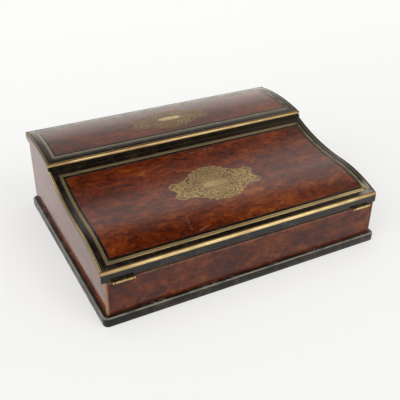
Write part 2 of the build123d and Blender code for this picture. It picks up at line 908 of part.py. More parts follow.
with BuildPart() as lid_nosing:
    with BuildSketch(Plane.YZ):
        with Locations((lid_front_y, lid_nosing_bottom)):
            Rectangle(lid_nosing_depth, lid_nosing_height, align=(Align.MIN, Align.MIN))
    extrude(amount=panel_half_width, both=True)
    fillet(lid_nosing.edges().filter_by(Axis.X).group_by(Axis.Z)[-1].sort_by(Axis.Y)[0], nosing_radius)
save(lid_nosing, "lid_nosing")

with BuildPart() as lid_back_lipping_strip:
    with BuildSketch(Plane.XY.offset(lid_under_height)):
        plan_rectangle(panel_half_width, lid_field_back_y, lid_back_y)
    extrude(amount=crown(lid_field_back_y) - lid_under_height)
    top_back = lid_back_lipping_strip.edges().filter_by(Axis.X).group_by(Axis.Z)[-1]
    fillet(top_back.sort_by(Axis.Y)[-1], lid_back_radius)
    for plane in hinge_planes["back"]:
        cut_leaf_recess(plane, 1)
save(lid_back_lipping_strip, "lid_back_lipping")

save(make_edging(crown, lid_stations), "lid_side_edgings")
save(make_ring(crown, lid_stations, lid_plan[0], lid_plan[1]), "lid_border")
save(make_ring(crown, lid_stations, lid_plan[1], lid_plan[2]), "lid_stringing")
save(make_ring(crown, lid_stations, lid_plan[2], lid_plan[3]), "lid_inner_line")
lid_veneer_plan = lid_plan[-1]
lid_cartouche_outline = (
    lid_cartouche_width,
    lid_veneer_plan[1] + lid_cartouche_front_margin,
    lid_veneer_plan[2] - lid_cartouche_back_margin,
    lid_bulge_width,
    lid_wing_height,
    lid_lobe_radius,
)
lid_cartouche = make_cartouche(crown, lid_stations, lid_cartouche_outline)
save(lid_cartouche, "lid_cartouche")
save(make_veneer(crown, lid_stations, lid_veneer_plan, lid_cartouche), "lid_veneer")
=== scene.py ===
# %% [markdown]
# # A desk box in burr veneer
# This box kept writing paper, pens and ink. Its flap is a shallow double curve that
# folds forward on hinges at its lower edge and becomes a writing slope. Behind it, a
# crowned lid covers pens and ink. Both are burr veneer framed by black wood, brass lines
# and a black line, with a plate of brass scrollwork in the middle.
# The lesson dresses the plain solids of the CAD model: they say where everything is,
# and each step below gives one part its worked shape or its finish.

from math import radians

import bmesh
import bpy
import numpy as np
from mathutils import Matrix, Vector


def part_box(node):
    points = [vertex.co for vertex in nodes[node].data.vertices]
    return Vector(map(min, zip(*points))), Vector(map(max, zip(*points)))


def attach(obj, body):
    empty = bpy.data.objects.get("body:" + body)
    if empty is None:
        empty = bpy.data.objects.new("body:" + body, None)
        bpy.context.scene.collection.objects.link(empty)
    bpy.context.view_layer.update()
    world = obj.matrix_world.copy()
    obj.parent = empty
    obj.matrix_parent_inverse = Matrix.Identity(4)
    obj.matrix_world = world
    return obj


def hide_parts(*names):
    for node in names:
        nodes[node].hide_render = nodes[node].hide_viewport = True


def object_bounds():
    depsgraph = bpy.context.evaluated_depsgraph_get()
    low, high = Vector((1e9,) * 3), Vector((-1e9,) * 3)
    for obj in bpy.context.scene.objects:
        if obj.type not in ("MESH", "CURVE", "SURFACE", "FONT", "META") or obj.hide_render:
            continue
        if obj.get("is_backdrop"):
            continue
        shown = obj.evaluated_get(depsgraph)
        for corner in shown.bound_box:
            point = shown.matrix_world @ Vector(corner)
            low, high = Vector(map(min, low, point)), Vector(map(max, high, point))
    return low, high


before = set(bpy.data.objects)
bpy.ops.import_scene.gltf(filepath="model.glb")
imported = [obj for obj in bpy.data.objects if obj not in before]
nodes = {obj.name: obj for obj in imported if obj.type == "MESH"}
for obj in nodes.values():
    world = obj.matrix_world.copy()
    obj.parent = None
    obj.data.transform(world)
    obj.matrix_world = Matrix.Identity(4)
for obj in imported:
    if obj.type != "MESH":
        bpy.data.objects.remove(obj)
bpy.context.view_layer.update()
scene = bpy.context.scene

# %% [markdown]
# ## The camera
# The box is seen from its front left corner and from above. A camera's place could be
# set by eye; here it is written as a compass turn, a downward tilt and a slight roll,
# because three plain angles are easy to read and to correct.

# %% Camera
camera_data = bpy.data.cameras.new("camera")
camera_data.lens = 56.98
camera_data.sensor_width = 36
camera_place = (-0.3167, -0.6022, 0.4468)
compass_turn, downward_tilt, roll = -28.09, 31.46, 0.7
camera = bpy.data.objects.new("camera", camera_data)
camera.matrix_world = (
    Matrix.Translation(camera_place)
    @ Matrix.Rotation(radians(compass_turn), 4, "Z")
    @ Matrix.Rotation(radians(90 - downward_tilt), 4, "X")
    @ Matrix.Rotation(radians(roll), 4, "Z")
)
scene.collection.objects.link(camera)
scene.camera = camera
scene.view_settings.view_transform = "Standard"
print("camera looks along", [round(v, 2) for v in -camera.matrix_world.col[2].xyz])

# %% [markdown]
# ## Shader maths
# A finish is a graph of nodes. Building graphs by hand is slow to read, so a value that
# varies over a surface is wrapped here as a `Value`: adding or multiplying two values
# adds a Math node. Every other node comes from one method, `Finish.node`.


# %% Values and finishes
class Value:
    """One output of a node, with the arithmetic that adds Math nodes."""

    def __init__(self, finish, socket):
        self.finish = finish
        self.socket = socket

    def maths(self, operation, *terms):
        settings = {"operation": operation}
        return self.finish.node("Math", settings, dict(enumerate(terms)))

    def __add__(self, other):
        return self.maths("ADD", self, other)

    def __sub__(self, other):
        return self.maths("SUBTRACT", self, other)

    def __rsub__(self, other):
        return self.maths("SUBTRACT", other, self)

    def __mul__(self, other):
        return self.maths("MULTIPLY", self, other)

    def __abs__(self):
        return self.maths("ABSOLUTE", self)

    def larger(self, other):
        return self.maths("MAXIMUM", self, other)

    def ramp(self, low, high, start=0.0, end=1.0):
        """Eases from start to end while this value goes from low to high."""
        settings = {"interpolation_type": "SMOOTHSTEP"}
        sockets = {"Value": self, "From Min": low, "From Max": high, "To Min": start, "To Max": end}
        return self.finish.node("MapRange", settings, sockets)

    def near(self, level, inner, outer):
        """1 up to an inner distance from a level, easing to 0 at an outer one."""
        return abs(self - level).ramp(inner, outer, 1.0, 0.0)

    __radd__ = __add__
    __rmul__ = __mul__


class Finish:
    """A node graph under construction: a material's, or the world's."""

    def __init__(self, owner):
        owner.use_nodes = True
        self.owner = owner
        self.tree = owner.node_tree

    def node(self, kind, settings=(), sockets=(), output=0):
        """Adds a node of a kind: first its settings, then a value or a link for each socket."""
        node = self.tree.nodes.new("ShaderNode" + kind)
        for name, value in dict(settings).items():
            if name == "stops":
                self.set_stops(node.color_ramp, value)
            else:
                setattr(node, name, value)
        for name, value in dict(sockets).items():
            self.put(node.inputs[name], value)
        return Value(self, node.outputs[output])

    def put(self, socket, value):
        """Sets a socket, or links a wrapped value to it."""
        if isinstance(value, Value):
            self.tree.links.new(value.socket, socket)
        elif socket.type == "RGBA":
            socket.default_value = (*value, 1)
        else:
            socket.default_value = value

    def set_stops(self, band, stops):
        """Fills a colour ramp with (place, colour) stops."""
        while len(band.elements) < len(stops):
            band.elements.new(0.5)
        for element, (place, colour) in zip(band.elements, stops):
            element.position = place
            element.color = (*colour, 1)

    def mix(self, share, first, second):
        """A colour share of the way from the first to the second."""
        return self.node("Mix", {"data_type": "RGBA"}, {0: share, 6: first, 7: second}, output=2)

    def axis(self, place, name):
        """The part of a place or direction along one axis: x, y or z."""
        return self.node("SeparateXYZ", (), {0: place}, "xyz".index(name))

    def ray(self, kind):
        """1 for rays of a kind, such as Camera or Glossy, and 0 for others."""
        return self.node("LightPath", (), (), f"Is {kind} Ray")

    def vector(self, operation, *terms, output=0, **named):
        """Vector arithmetic."""
        sockets = {**dict(enumerate(terms)), **named}
        return self.node("VectorMath", {"operation": operation}, sockets, output)


# %% [markdown]
# ## The studio
# The box stands on pale paper under soft light. Polished wood shows the room, so the
# room matters: a white wall that dims from about 20 degrees up, a ceiling that is dark
# above about 50, and two bright panels, one in front and one straight overhead. A
# rendered room could do this; a few ramps on the direction of a reflected ray are
# simpler. Lamps that reflections can't see give the plain light.

# %% World
key_direction = Vector((0.45, -0.66, 0.6)).normalized()
world = bpy.data.worlds.new("studio")
scene.world = world
room = Finish(world)
direction = room.node("TexCoord")
rightwards, upwards = room.axis(direction, "x"), room.axis(direction, "z")
toward_key = room.vector("DOT_PRODUCT", direction, tuple(key_direction), output=1)
wall = upwards.ramp(0.3, 0.52, 1.3, 0.8) + upwards.ramp(0.04, 0.27, 0.5, 0.0)
dark_ceiling = upwards.ramp(0.64, 0.78) * 0.58 + upwards.ramp(0.78, 0.87) * 0.21
overhead_panel = upwards.ramp(0.955, 0.99) * 0.7
key_panel = toward_key.ramp(0.88, 0.96) * 0.95
brighter_right = rightwards.ramp(0.2, 0.6, 0.98, 1.06)
seen_room = (wall - dark_ceiling + overhead_panel) * brighter_right + key_panel
seen = room.ray("Camera").larger(room.ray("Glossy")).larger(room.ray("Transmission"))
ambient = 0.5
background = world.node_tree.nodes["Background"]
background.inputs["Color"].default_value = (1.0, 0.995, 0.96, 1)
room.put(background.inputs["Strength"], ambient + seen * (seen_room - ambient))
print("the bright panel in front hangs at", round(float(np.degrees(np.arcsin(key_direction.z)))), "degrees")


# %% Floor
def pale_paper():
    """Pale paper: half of what is seen is its own light, the other half takes the shadow."""
    finish = Finish(bpy.data.materials.new("pale_paper"))
    tree = finish.tree
    tree.nodes.remove(tree.nodes["Principled BSDF"])
    lit = finish.node("BsdfDiffuse", (), {"Color": (0.45, 0.45, 0.447)})
    away = finish.axis(finish.node("TexCoord", (), (), "Object"), "y")
    share = finish.ray("Camera").larger(finish.ray("Glossy")) * away.ramp(-0.1, 1.0, 0.48, 0.53)
    glow = finish.node("Emission", (), {"Color": (1.0, 1.0, 0.995), "Strength": share})
    surface = finish.node("AddShader", (), {0: lit, 1: glow})
    finish.put(tree.nodes["Material Output"].inputs["Surface"], surface)
    return finish.owner


far = 6.0
floor_mesh = bpy.data.meshes.new("floor")
floor_mesh.from_pydata([(-far, -far, 0), (far, -far, 0), (far, far, 0), (-far, far, 0)], [], [(0, 1, 2, 3)])
floor = bpy.data.objects.new("floor", floor_mesh)
floor.data.materials.append(pale_paper())
scene.collection.objects.link(floor)
floor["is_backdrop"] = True
print("floor:", round(2 * far), "m of pale paper each way")


# %% Lamps
def soft_lamp(name, direction, share, width):
    """A wide, far lamp. It adds a share of full light to level surfaces, and reflections
    don't see it: its strength is pi times the share over the sine of its height."""
    towards = Vector(direction).normalized()
    data = bpy.data.lights.new(name, "SUN")
    data.angle = radians(width)
    data.energy = np.pi * share / towards.z
    lamp = bpy.data.objects.new(name, data)
    lamp.rotation_euler = towards.to_track_quat("Z", "Y").to_euler()
    lamp.visible_glossy = False
    scene.collection.objects.link(lamp)
    print(name, "lamp strength:", round(data.energy, 2))


soft_lamp("key", key_direction, 0.15, 40)
soft_lamp("overhead", (0.1, 0.25, 1.0), 0.15, 60)
soft_lamp("left", (-0.9, -0.25, 0.45), 0.2, 60)

# %% [markdown]
# ## Meshes from arrays
# Most parts of the box are a profile carried along a path: a bead along an edge, a
# frame round a panel. `shell` joins neighbouring profiles with quads, and `piece` turns
# one or more shells into an object, in metres, riding on its CAD body.

# %% Shells
to_metres = 0.001


def shell(sections, ring=False, rubbed=0.0):
    """Points and faces of a profile carried along a path: section i, point j is joined to
    sections i + 1 and points j + 1; a ring closes on itself, another path is capped.
    Rubbed says, from 0 to 1, how much each point has been worn by hands; on the nosings,
    the beads, the plinth and the back of the lid it also marks painted light."""
    rows, columns = sections.shape[:2]
    row = np.arange(rows if ring else rows - 1)[:, None]
    column = np.arange(columns)[None, :]
    beside = (column + 1) % columns
    below = (row + 1) % rows
    corners = [row * columns + column, row * columns + beside]
    corners += [below * columns + beside, below * columns + column]
    faces = np.stack(np.broadcast_arrays(*corners), axis=-1).reshape(-1, 4).tolist()
    if not ring:
        faces.append(list(range(columns)))
        faces.append(list(range((rows - 1) * columns, rows * columns)))
    return sections.reshape(-1, 3), faces, np.broadcast_to(rubbed, (rows, columns)).ravel()


def piece(name, shells, body, material, replaces=()):
    """Joins shells, given in mm, into one object with outward faces and soft shading."""
    starts = np.cumsum([0] + [len(points) for points, _, _ in shells])
    points = np.concatenate([points for points, _, _ in shells]) * to_metres
    faces = [[corner + start for corner in face]
             for start, (_, group, _) in zip(starts.tolist(), shells) for face in group]
    mesh = bpy.data.meshes.new(name)
    mesh.from_pydata(points.tolist(), [], faces)
    rubbed = np.concatenate([rubbed for _, _, rubbed in shells])
    # The rubbed mark is wear, and on some pieces also painted light: painted highlights on the nosings, beads
    # and plinth, and a painted reflection on the back of the lid.
    mesh.attributes.new("rubbed", "FLOAT", "POINT").data.foreach_set("value", rubbed)
    finished(name, mesh, body, material, replaces, sharp=35)


def finished(name, mesh, body, material, replaces, sharp):
    """Turns a mesh's faces outwards, shades it, with edges sharper than an angle left
    crisp, and puts it on its CAD body."""
    work = bmesh.new()
    work.from_mesh(mesh)
    bmesh.ops.recalc_face_normals(work, faces=work.faces)
    work.to_mesh(mesh)
    work.free()
    mesh.shade_smooth()
    mesh.set_sharp_from_angle(angle=radians(sharp))
    mesh.materials.append(material)
    made = bpy.data.objects.new(name, mesh)
    scene.collection.objects.link(made)
    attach(made, body)
    if replaces:
        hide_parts(*replaces)
    print(name, "on", body, "with", len(mesh.polygons), "faces")
    return made


# %% [markdown]
# ## Finishes
# Patterns are laid in millimetres on Object coordinates, so they sit still on each
# piece. First come small helpers: a place in millimetres, stretched the way the grain
# runs, clouds of noise of a given size, and a finish with a Principled shader.


# %% Pattern helpers
class Surface(Finish):
    """A material with a Principled shader, and patterns measured in millimetres."""

    def __init__(self, name, **constants):
        super().__init__(bpy.data.materials.new(name))
        self.shader = self.tree.nodes["Principled BSDF"]
        for socket, value in constants.items():
            self.put(self.shader.inputs[socket.replace("_", " ")], value)
        place = self.node("TexCoord", (), (), "Object")
        self.place = self.vector("SCALE", place, Scale=1000.0)
        self.rubbed = self.node("Attribute", {"attribute_name": "rubbed"}, (), "Fac")
        print("finish:", name)

    def along(self, axis):
        """The place along one axis, x, y or z, in mm."""
        return self.axis(self.place, axis)

    def stretched(self, factors, place=None):
        """The place with each axis divided by a factor: patterns grow long along it."""
        return self.vector("DIVIDE", place or self.place, factors)

    def clouds(self, size, place=None, detail=4.0, roughness=0.55, output=0):
        """Cloudy noise from 0 to 1, with clouds of about that size; output 1 is a colour."""
        sockets = {"Vector": place or self.place, "Scale": 1 / size, "Detail": detail, "Roughness": roughness}
        return self.node("TexNoise", (), sockets, output)

    def cells(self, size, place, feature="F1"):
        """Distance to the nearest of scattered points, in shares of their spacing."""
        return self.node("TexVoronoi", {"feature": feature}, {"Vector": place, "Scale": 1 / size}, "Distance")

    def wandering(self, size, amount, place=None):
        """The place pushed about by up to half an amount, by clouds of that size."""
        place = place or self.place
        push = self.clouds(size, place, 2.0, output=1)
        push = self.vector("SUBTRACT", push, (0.5, 0.5, 0.5))
        return self.vector("ADD", place, self.vector("SCALE", push, Scale=amount))

    def colours(self, value, *stops):
        """A colour ramp of (place, colour) stops."""
        return self.node("ValToRGB", {"stops": stops}, {0: value})

    def dressed(self, colour, roughness, height, distance, metallic=None):
        """The material, with its colour, its roughness, and bumps of a height from 0 to 1
        that are a distance in mm deep."""
        bump = self.node("Bump", (), {"Height": height, "Distance": distance * to_metres})
        inputs = {"Base Color": colour, "Roughness": roughness, "Normal": bump}
        if metallic:
            inputs["Metallic"] = metallic
        for socket, value in inputs.items():
            self.put(self.shader.inputs[socket], value)
        return self.owner


# %% [markdown]
# ### Burr veneer
# Burr wood grows in a swirl of buds, so its figure is a restless mottle of dark brown
# streaks, red wood and small orange lights. Layers of noise on a place that has itself
# been pushed about by noise give that swirl; plain noise would look like cloud. The
# lacquer over it is a low roughness with faint ripples, bruises and fine scratches.


# %% Burr veneer
middle_tone = 0.49


def burr_veneer(name, grain, shift, scratches=(), polish=(0.12, 0.2), gloss=1.53, lighter=0.0,
                swirl_size=30.0, swirl_push=0.55, figure_size=3.4, contrast=1.0, worn_from=None):
    """Burr veneer whose figure runs longest along the axis with the largest factor; the
    swirl pushes it about by a share of the swirl's own size. Contrast spreads its tones
    about the middle one, and it is rubbed pale between two heights, if they are given."""
    wood = Surface(name, IOR=gloss)
    place = wood.vector("ADD", wood.place, shift)
    swirl = wood.wandering(swirl_size, swirl_size * swirl_push, place)
    swirl = wood.wandering(7.0, 3.5, swirl)
    along = wood.stretched(grain, swirl)
    figure = wood.clouds(figure_size, along, 5.0, 0.6)
    patches = wood.clouds(9.0, wood.stretched(tuple(v**1.3 for v in grain), swirl), 4.0, 0.6)
    streaks = wood.clouds(7.0, along, 3.0, 0.5).near(0.5, 0.0, 0.045)
    streaks = streaks * wood.clouds(22.0, place).ramp(0.42, 0.62)
    lights = wood.clouds(2.6, along, 3.0, 0.5).ramp(0.54, 0.72)
    drift = wood.clouds(48.0, wood.stretched(grain, place), 3.0)
    buds = wood.cells(2.6, swirl).ramp(0.06, 0.24, 1.0, 0.0) * wood.clouds(26.0, place).ramp(0.54, 0.62)
    fibre = wood.clouds(0.7, wood.stretched(tuple(v * v * 1.5 for v in grain), swirl), 2.0)
    tone = figure * 0.42 + patches * 0.62 + (drift - 0.5) * 0.45 + (fibre - 0.5) * 0.14 - 0.03
    tone = tone + wood.along("x").ramp(-170.0, 170.0, lighter - 0.025, lighter + 0.035)
    tone = tone - streaks * 0.07 + lights * 0.07 - buds * 0.12
    tone = (tone - middle_tone) * contrast + middle_tone
    colour = wood.colours(
        tone,
        (0.22, (0.014, 0.003, 0.0014)),
        (0.34, (0.042, 0.007, 0.002)),
        (0.45, (0.088, 0.0128, 0.0025)),
        (0.55, (0.138, 0.0235, 0.0036)),
        (0.65, (0.205, 0.045, 0.0065)),
        (0.8, (0.3, 0.086, 0.015)),
    )
    plum = wood.clouds(19.0, wood.stretched(grain, swirl), 3.0).ramp(0.48, 0.68)
    colour = wood.mix(plum * 0.45, colour, (0.058, 0.014, 0.0068))
    wear = wood.clouds(0.9, place, 2.0).ramp(0.74, 0.8) * wood.clouds(30.0, place).ramp(0.48, 0.62) * 0.5
    for x, y, turn, length in scratches:
        wear = wear.larger(scratch(wood, x, y, turn, length))
    if worn_from:
        wear = wear.larger(wood.along("z").ramp(*worn_from) * wood.clouds(5.0).ramp(0.3, 0.6, 0.15, 0.7))
    colour = wood.mix(wear * 0.55, colour, (0.38, 0.26, 0.17))
    rough = wood.clouds(45.0, place, 5.0).ramp(0.35, 0.7, *polish) + wear * 0.25
    ripple = wood.clouds(6.0, place, 3.0) * 0.7 + figure * 0.3 + fibre * 0.16 - wear * 0.3
    return wood.dressed(colour, rough, ripple, 0.08)


def scratch(surface, x, y, turn, length):
    """A fine scratch in plan: 1 on a line of that length with its middle at (x, y), at a
    turn in degrees, and 0 elsewhere; clouds break it up."""
    u, v = np.cos(radians(turn)), np.sin(radians(turn))
    from_middle = surface.vector("SUBTRACT", surface.wandering(8.0, 1.6), (x, y, 0.0))
    along = surface.vector("DOT_PRODUCT", from_middle, (u, v, 0.0), output=1)
    across = surface.vector("DOT_PRODUCT", from_middle, (-v, u, 0.0), output=1)
    patchy = surface.clouds(3.0).ramp(0.38, 0.6)
    return across.near(0.0, 0.15, 0.5) * along.near(0.0, length * 0.4, length / 2) * patchy


flap_scratches = [  # x, y, turn in degrees, length
    (-62.0, -101.0, 83.0, 22.0), (51.0, -107.5, -28.0, 17.0), (12.0, 14.5, 1.0, 44.0),
    (-48.0, -112.0, 12.0, 18.0), (96.0, -96.0, 60.0, 10.0)]
flap_burr = burr_veneer("burr_veneer_flap", (2.3, 1.0, 1.0), (0.0, 0.0, 0.0), flap_scratches,
                        polish=(0.07, 0.13), swirl_push=0.8, contrast=1.1)
lid_burr = burr_veneer("burr_veneer_lid", (2.0, 1.0, 1.0), (210.0, 90.0, 40.0),
                       gloss=1.5, lighter=-0.02, contrast=0.85)
satin = dict(polish=(0.16, 0.3), gloss=1.42)
front_burr = burr_veneer("burr_veneer_front", (2.0, 1.0, 1.2), (-80.0, 310.0, 0.0), swirl_size=14.0,
                         swirl_push=1.0, figure_size=4.4, contrast=1.25, worn_from=(49.6, 50.8), **satin)
back_burr = burr_veneer("burr_veneer_back", (2.4, 1.0, 1.2), (120.0, 40.0, 200.0), **satin)
# The sides' burr is a tone lighter than the rest: a painted sheen that stands in for the glare on the side
# walls.
side_burr = burr_veneer("burr_veneer_sides", (1.0, 2.6, 1.0), (35.0, 70.0, 500.0),
                        polish=(0.08, 0.16), gloss=1.58, lighter=0.1)

# %% [markdown]
# ### Black wood
# The dark bands are pear wood stained black and polished. Plain black would look like a
# gap. Rubbing takes the stain off in specks and along the grain, and dust settles in it,
# so the black is mixed with dusty brown in patches, and the polish turns dull in places.
# Over the right half the black is painted dusty brown throughout: a painted sheen for the
# light it reflects on that side. Where a piece is marked rubbed, the brown-grey is partly
# wear and partly painted light.


# %% Ebonised wood
def black_wood(name, worn=0.55, gloss=1.5, polish=(0.1, 0.26), depth=0.07):
    """Stained black wood: satin, specked, dusty, and brown-grey where it is rubbed; its right half is painted
    dusty as a painted sheen, and the rubbed brown-grey is partly painted light.
    """
    wood = Surface(name, IOR=gloss)
    specks = wood.clouds(0.8, detail=3.0).ramp(worn + 0.1, worn + 0.16)
    specks = specks * wood.clouds(16.0).ramp(0.5, 0.66)
    dust_and_sheen = wood.clouds(9.0, detail=5.0).ramp(0.4, 0.75)
    # Where a piece is marked rubbed the stain comes off. This is partly wear and partly painted light: a
    # painted highlight along the plinth's arris and a painted reflection along the back of the lid.
    bare_and_sheen = wood.rubbed * wood.clouds(4.0, wood.stretched((3.0, 3.0, 1.0)), 4.0).ramp(0.3, 0.55, 0.4, 1.0)
    # Over the right half the black turns fully dusty brown: a painted sheen for the light it reflects on that
    # side.
    dust_and_sheen = dust_and_sheen.larger(wood.along("x").ramp(0.0, 140.0))
    colour = wood.mix(dust_and_sheen * 0.7, (0.006, 0.0042, 0.0028), (0.03, 0.022, 0.015))
    colour = wood.mix(specks.larger(bare_and_sheen), colour, (0.3, 0.265, 0.225))
    rough = wood.clouds(14.0, detail=5.0).ramp(0.3, 0.7, *polish) + specks * 0.3 + bare_and_sheen * 0.15
    pores = wood.clouds(0.6, wood.stretched((6.0, 3.0, 3.0)), 3.0)
    relief = pores * 0.6 + wood.clouds(5.0) - specks * 0.5
    return wood.dressed(colour, rough, relief, depth)


ebonised = black_wood("ebonised_wood", 0.5, 1.46)
ebonised_frame = black_wood("ebonised_frames", gloss=1.42, polish=(0.05, 0.15), depth=0.035)
# A shaded copy of the black wood, with fewer pale specks and a weaker reflection, for the lid's front
# lipping, which lies in shadow under the nosing: painted shade.
ebonised_shade = black_wood("ebonised_shade", 0.62, 1.25)
ebonised_worn = black_wood("ebonised_plinth", 0.46, 1.38, (0.22, 0.44))

# %% [markdown]
# ### Brass
# The nosings and beads are polished brass that has darkened where no hand rubs it. The
# flush lines have lost their shine. One even gold would look like paint, so a cloud of
# tarnish takes back the bright colour and roughens the metal together, as age does.
# Where the nosings and beads are marked rubbed, their brightness is partly wear and partly
# a painted highlight.


# %% Brass
def brass(name, bright, dull, tarnish=(0.42, 0.66), roughness=(0.2, 0.42),
          kept=0.0, right_edge_darkening=0.0, seam=None):
    """Aged brass, bright where it is marked rubbed (on nosings and beads partly a painted
    highlight) and dull elsewhere; kept is the share of the bright colour that it keeps out
    of reach of hands, right_edge_darkening how much darker it turns in patches along the
    right-hand edge, and seam a place along y that is dark with stain."""
    metal = Surface(name, Metallic=1.0)
    age = metal.clouds(16.0, metal.stretched((2.5, 2.5, 1.0)), 6.0, 0.62).ramp(*tarnish)
    shine = metal.rubbed.larger(kept) * (1 - age * 0.5)
    specks = metal.clouds(1.1, detail=3.0).ramp(0.6, 0.7)
    colour = metal.mix(shine, dull, bright)
    colour = metal.mix(specks * 0.45, colour, (0.14, 0.085, 0.035))
    # Darker in patches along the right-hand edge, from x = 158.5 mm outwards.
    if right_edge_darkening:
        right_edge_dark = metal.clouds(11.0, detail=6.0, roughness=0.65).ramp(0.4, 0.58, 1.0, 0.0)
        right_edge_dark = metal.along("x").ramp(158.5, 160.5, 0.0, right_edge_darkening) * right_edge_dark
        colour = metal.mix(right_edge_dark, colour, (0.055, 0.047, 0.034))
    if seam:
        colour = metal.mix(metal.along("y").near(seam, 0.8, 1.0), colour, (0.17, 0.155, 0.13))
    rough = shine.ramp(0.0, 1.0, roughness[1], roughness[0]) + specks * 0.2
    relief = metal.clouds(9.0, detail=2.0) + metal.clouds(0.7) * 0.25
    return metal.dressed(colour, rough, relief, 0.06)


polished_brass = brass("brass", (0.97, 0.74, 0.37), (0.235, 0.135, 0.05))
bead_brass = brass("brass_beads", (0.94, 0.71, 0.35), (0.15, 0.1, 0.045), right_edge_darkening=0.85)
hinge_look = dict(bright=(0.78, 0.56, 0.25), dull=(0.28, 0.19, 0.085), tarnish=(0.4, 0.64), kept=0.55)
hinge_brass = brass("brass_hinges", **hinge_look)
leaf_brass = brass("brass_flap_leaves", **hinge_look, seam=-130.4)
flush = dict(roughness=(0.34, 0.5), right_edge_darkening=0.75)
inlaid_brass = brass("brass_inlay", (0.98, 0.69, 0.32), (0.2, 0.157, 0.102), kept=0.25, **flush)
hazy_inlay = brass("brass_inlay_lid", (0.72, 0.57, 0.4), (0.22, 0.18, 0.14), kept=0.28, **flush)


def scroll_ground(name, hairline):
    """Brown wood engraved with hair-fine curling brass: thin contour lines of soft noise."""
    ground = Surface(name)
    curls = ground.clouds(3.0, ground.wandering(6.0, 3.0), 1.0)
    lines = curls.near(0.5, 0.016, 0.03)
    for level in (0.4, 0.6):
        lines = lines.larger(curls.near(level, 0.014, 0.028))
    stain = ground.clouds(5.0, detail=4.0)
    wood = ground.mix(stain, (0.052, 0.013, 0.005), (0.13, 0.038, 0.014))
    colour = ground.mix(lines, wood, hairline)
    return ground.dressed(colour, lines.ramp(0.0, 1.0, 0.22, 0.36), lines, 0.04, metallic=lines)


scroll_brass = brass("brass_scrolls", (0.84, 0.64, 0.29), (0.36, 0.25, 0.11), (0.36, 0.6), (0.32, 0.48))
hazy_brass = brass("brass_scrolls_lid", (0.72, 0.56, 0.27), (0.12, 0.085, 0.045), (0.36, 0.6), (0.4, 0.52))
scroll_wood = scroll_ground("scroll_ground", (0.42, 0.3, 0.13))
hazy_wood = scroll_ground("scroll_ground_lid", (0.2, 0.12, 0.06))

# %% [markdown]
# ### Inside finishes
# Waxed rosewood for the fittings, leather with gilt lines for the writing slope, marbled
# paper in the paper compartment, green baize under the base, and the glass and ink of
# the bottles. Tiled images would show their seams; noise of the right size doesn't, and
# each finish takes a few lines.


# %% Rosewood
def rosewood(name, grain):
    """Straight brown wood with dark lines, waxed."""
    wood = Surface(name)
    place = wood.wandering(40.0, 7.0)
    along = wood.stretched(grain, place)
    lines = wood.clouds(2.0, along, 5.0, 0.6)
    veins = wood.clouds(3.2, along, 2.0).near(0.5, 0.0, 0.05)
    pores = wood.clouds(0.35, along, 2.0).ramp(0.62, 0.75)
    colour = wood.colours(
        lines - veins * 0.2,
        (0.25, (0.02, 0.008, 0.005)),
        (0.45, (0.085, 0.028, 0.013)),
        (0.7, (0.21, 0.085, 0.04)),
    )
    colour = wood.mix(pores * 0.6, colour, (0.02, 0.008, 0.005))
    rough = wood.clouds(30.0, detail=4.0).ramp(0.3, 0.7, 0.3, 0.48)
    return wood.dressed(colour, rough, lines - pores, 0.05)


rosewood_along = rosewood("rosewood_along", (14.0, 1.0, 1.0))
rosewood_across = rosewood("rosewood_across", (1.0, 14.0, 1.0))


# %% Leather, lining and baize
def skiver():
    """Thin dyed leather: fine pebbled grain, rubbed lighter in patches."""
    hide = Surface("leather")
    pebbles = hide.cells(0.75, hide.wandering(2.0, 0.5), feature="SMOOTH_F1")
    rubbed = hide.clouds(60.0, detail=7.0, roughness=0.65).ramp(0.38, 0.72)
    colour = hide.mix(rubbed, (0.082, 0.014, 0.011), (0.106, 0.02, 0.015))
    colour = hide.mix(pebbles.ramp(0.45, 0.8) * 0.5, colour, (0.025, 0.005, 0.005))
    return hide.dressed(colour, rubbed.ramp(0.0, 1.0, 0.42, 0.58), 1 - pebbles, 0.08)


def lining_paper():
    """Matt dyed paper with a marbled vein."""
    paper = Surface("lining")
    place = paper.wandering(14.0, 12.0)
    veins = paper.clouds(9.0, place, 3.0).near(0.5, 0.0, 0.03)
    cloud = paper.clouds(20.0, place, 4.0).ramp(0.35, 0.65)
    colour = paper.mix(cloud, (0.07, 0.02, 0.036), (0.135, 0.05, 0.07))
    colour = paper.mix(veins * 0.7, colour, (0.3, 0.2, 0.12))
    return paper.dressed(colour, cloud.ramp(0.0, 1.0, 0.75, 0.9), paper.clouds(0.5), 0.04)


def green_baize():
    """Felted wool: short tangled fibres."""
    wool = Surface("baize")
    fibres = wool.clouds(0.5, wool.wandering(1.5, 2.0), 4.0, 0.7)
    colour = wool.mix(fibres, (0.01, 0.035, 0.016), (0.04, 0.115, 0.055))
    return wool.dressed(colour, 0.95, fibres, 0.25)


leather = skiver()
lining = lining_paper()
baize = green_baize()


# %% Glass, ink and gilding
def bottle_glass():
    """Clear pressed glass with a faint green cast and soft flow lines."""
    glass = Surface("glass", Transmission_Weight=1.0, IOR=1.5)
    flow = glass.clouds(11.0, glass.stretched((1.0, 1.0, 3.0)), 2.0)
    colour = glass.mix(flow, (0.86, 0.93, 0.89), (0.93, 0.96, 0.94))
    return glass.dressed(colour, glass.clouds(7.0).ramp(0.45, 0.8, 0.02, 0.12), flow, 0.08)


def dried_ink():
    """Blue-black ink, glossy where it is still wet and dull at its edge."""
    ink = Surface("ink")
    crust = ink.clouds(3.0, detail=4.0).ramp(0.45, 0.65)
    colour = ink.mix(crust, (0.004, 0.005, 0.014), (0.012, 0.012, 0.02))
    return ink.dressed(colour, crust.ramp(0.0, 1.0, 0.08, 0.55), crust, 0.05)


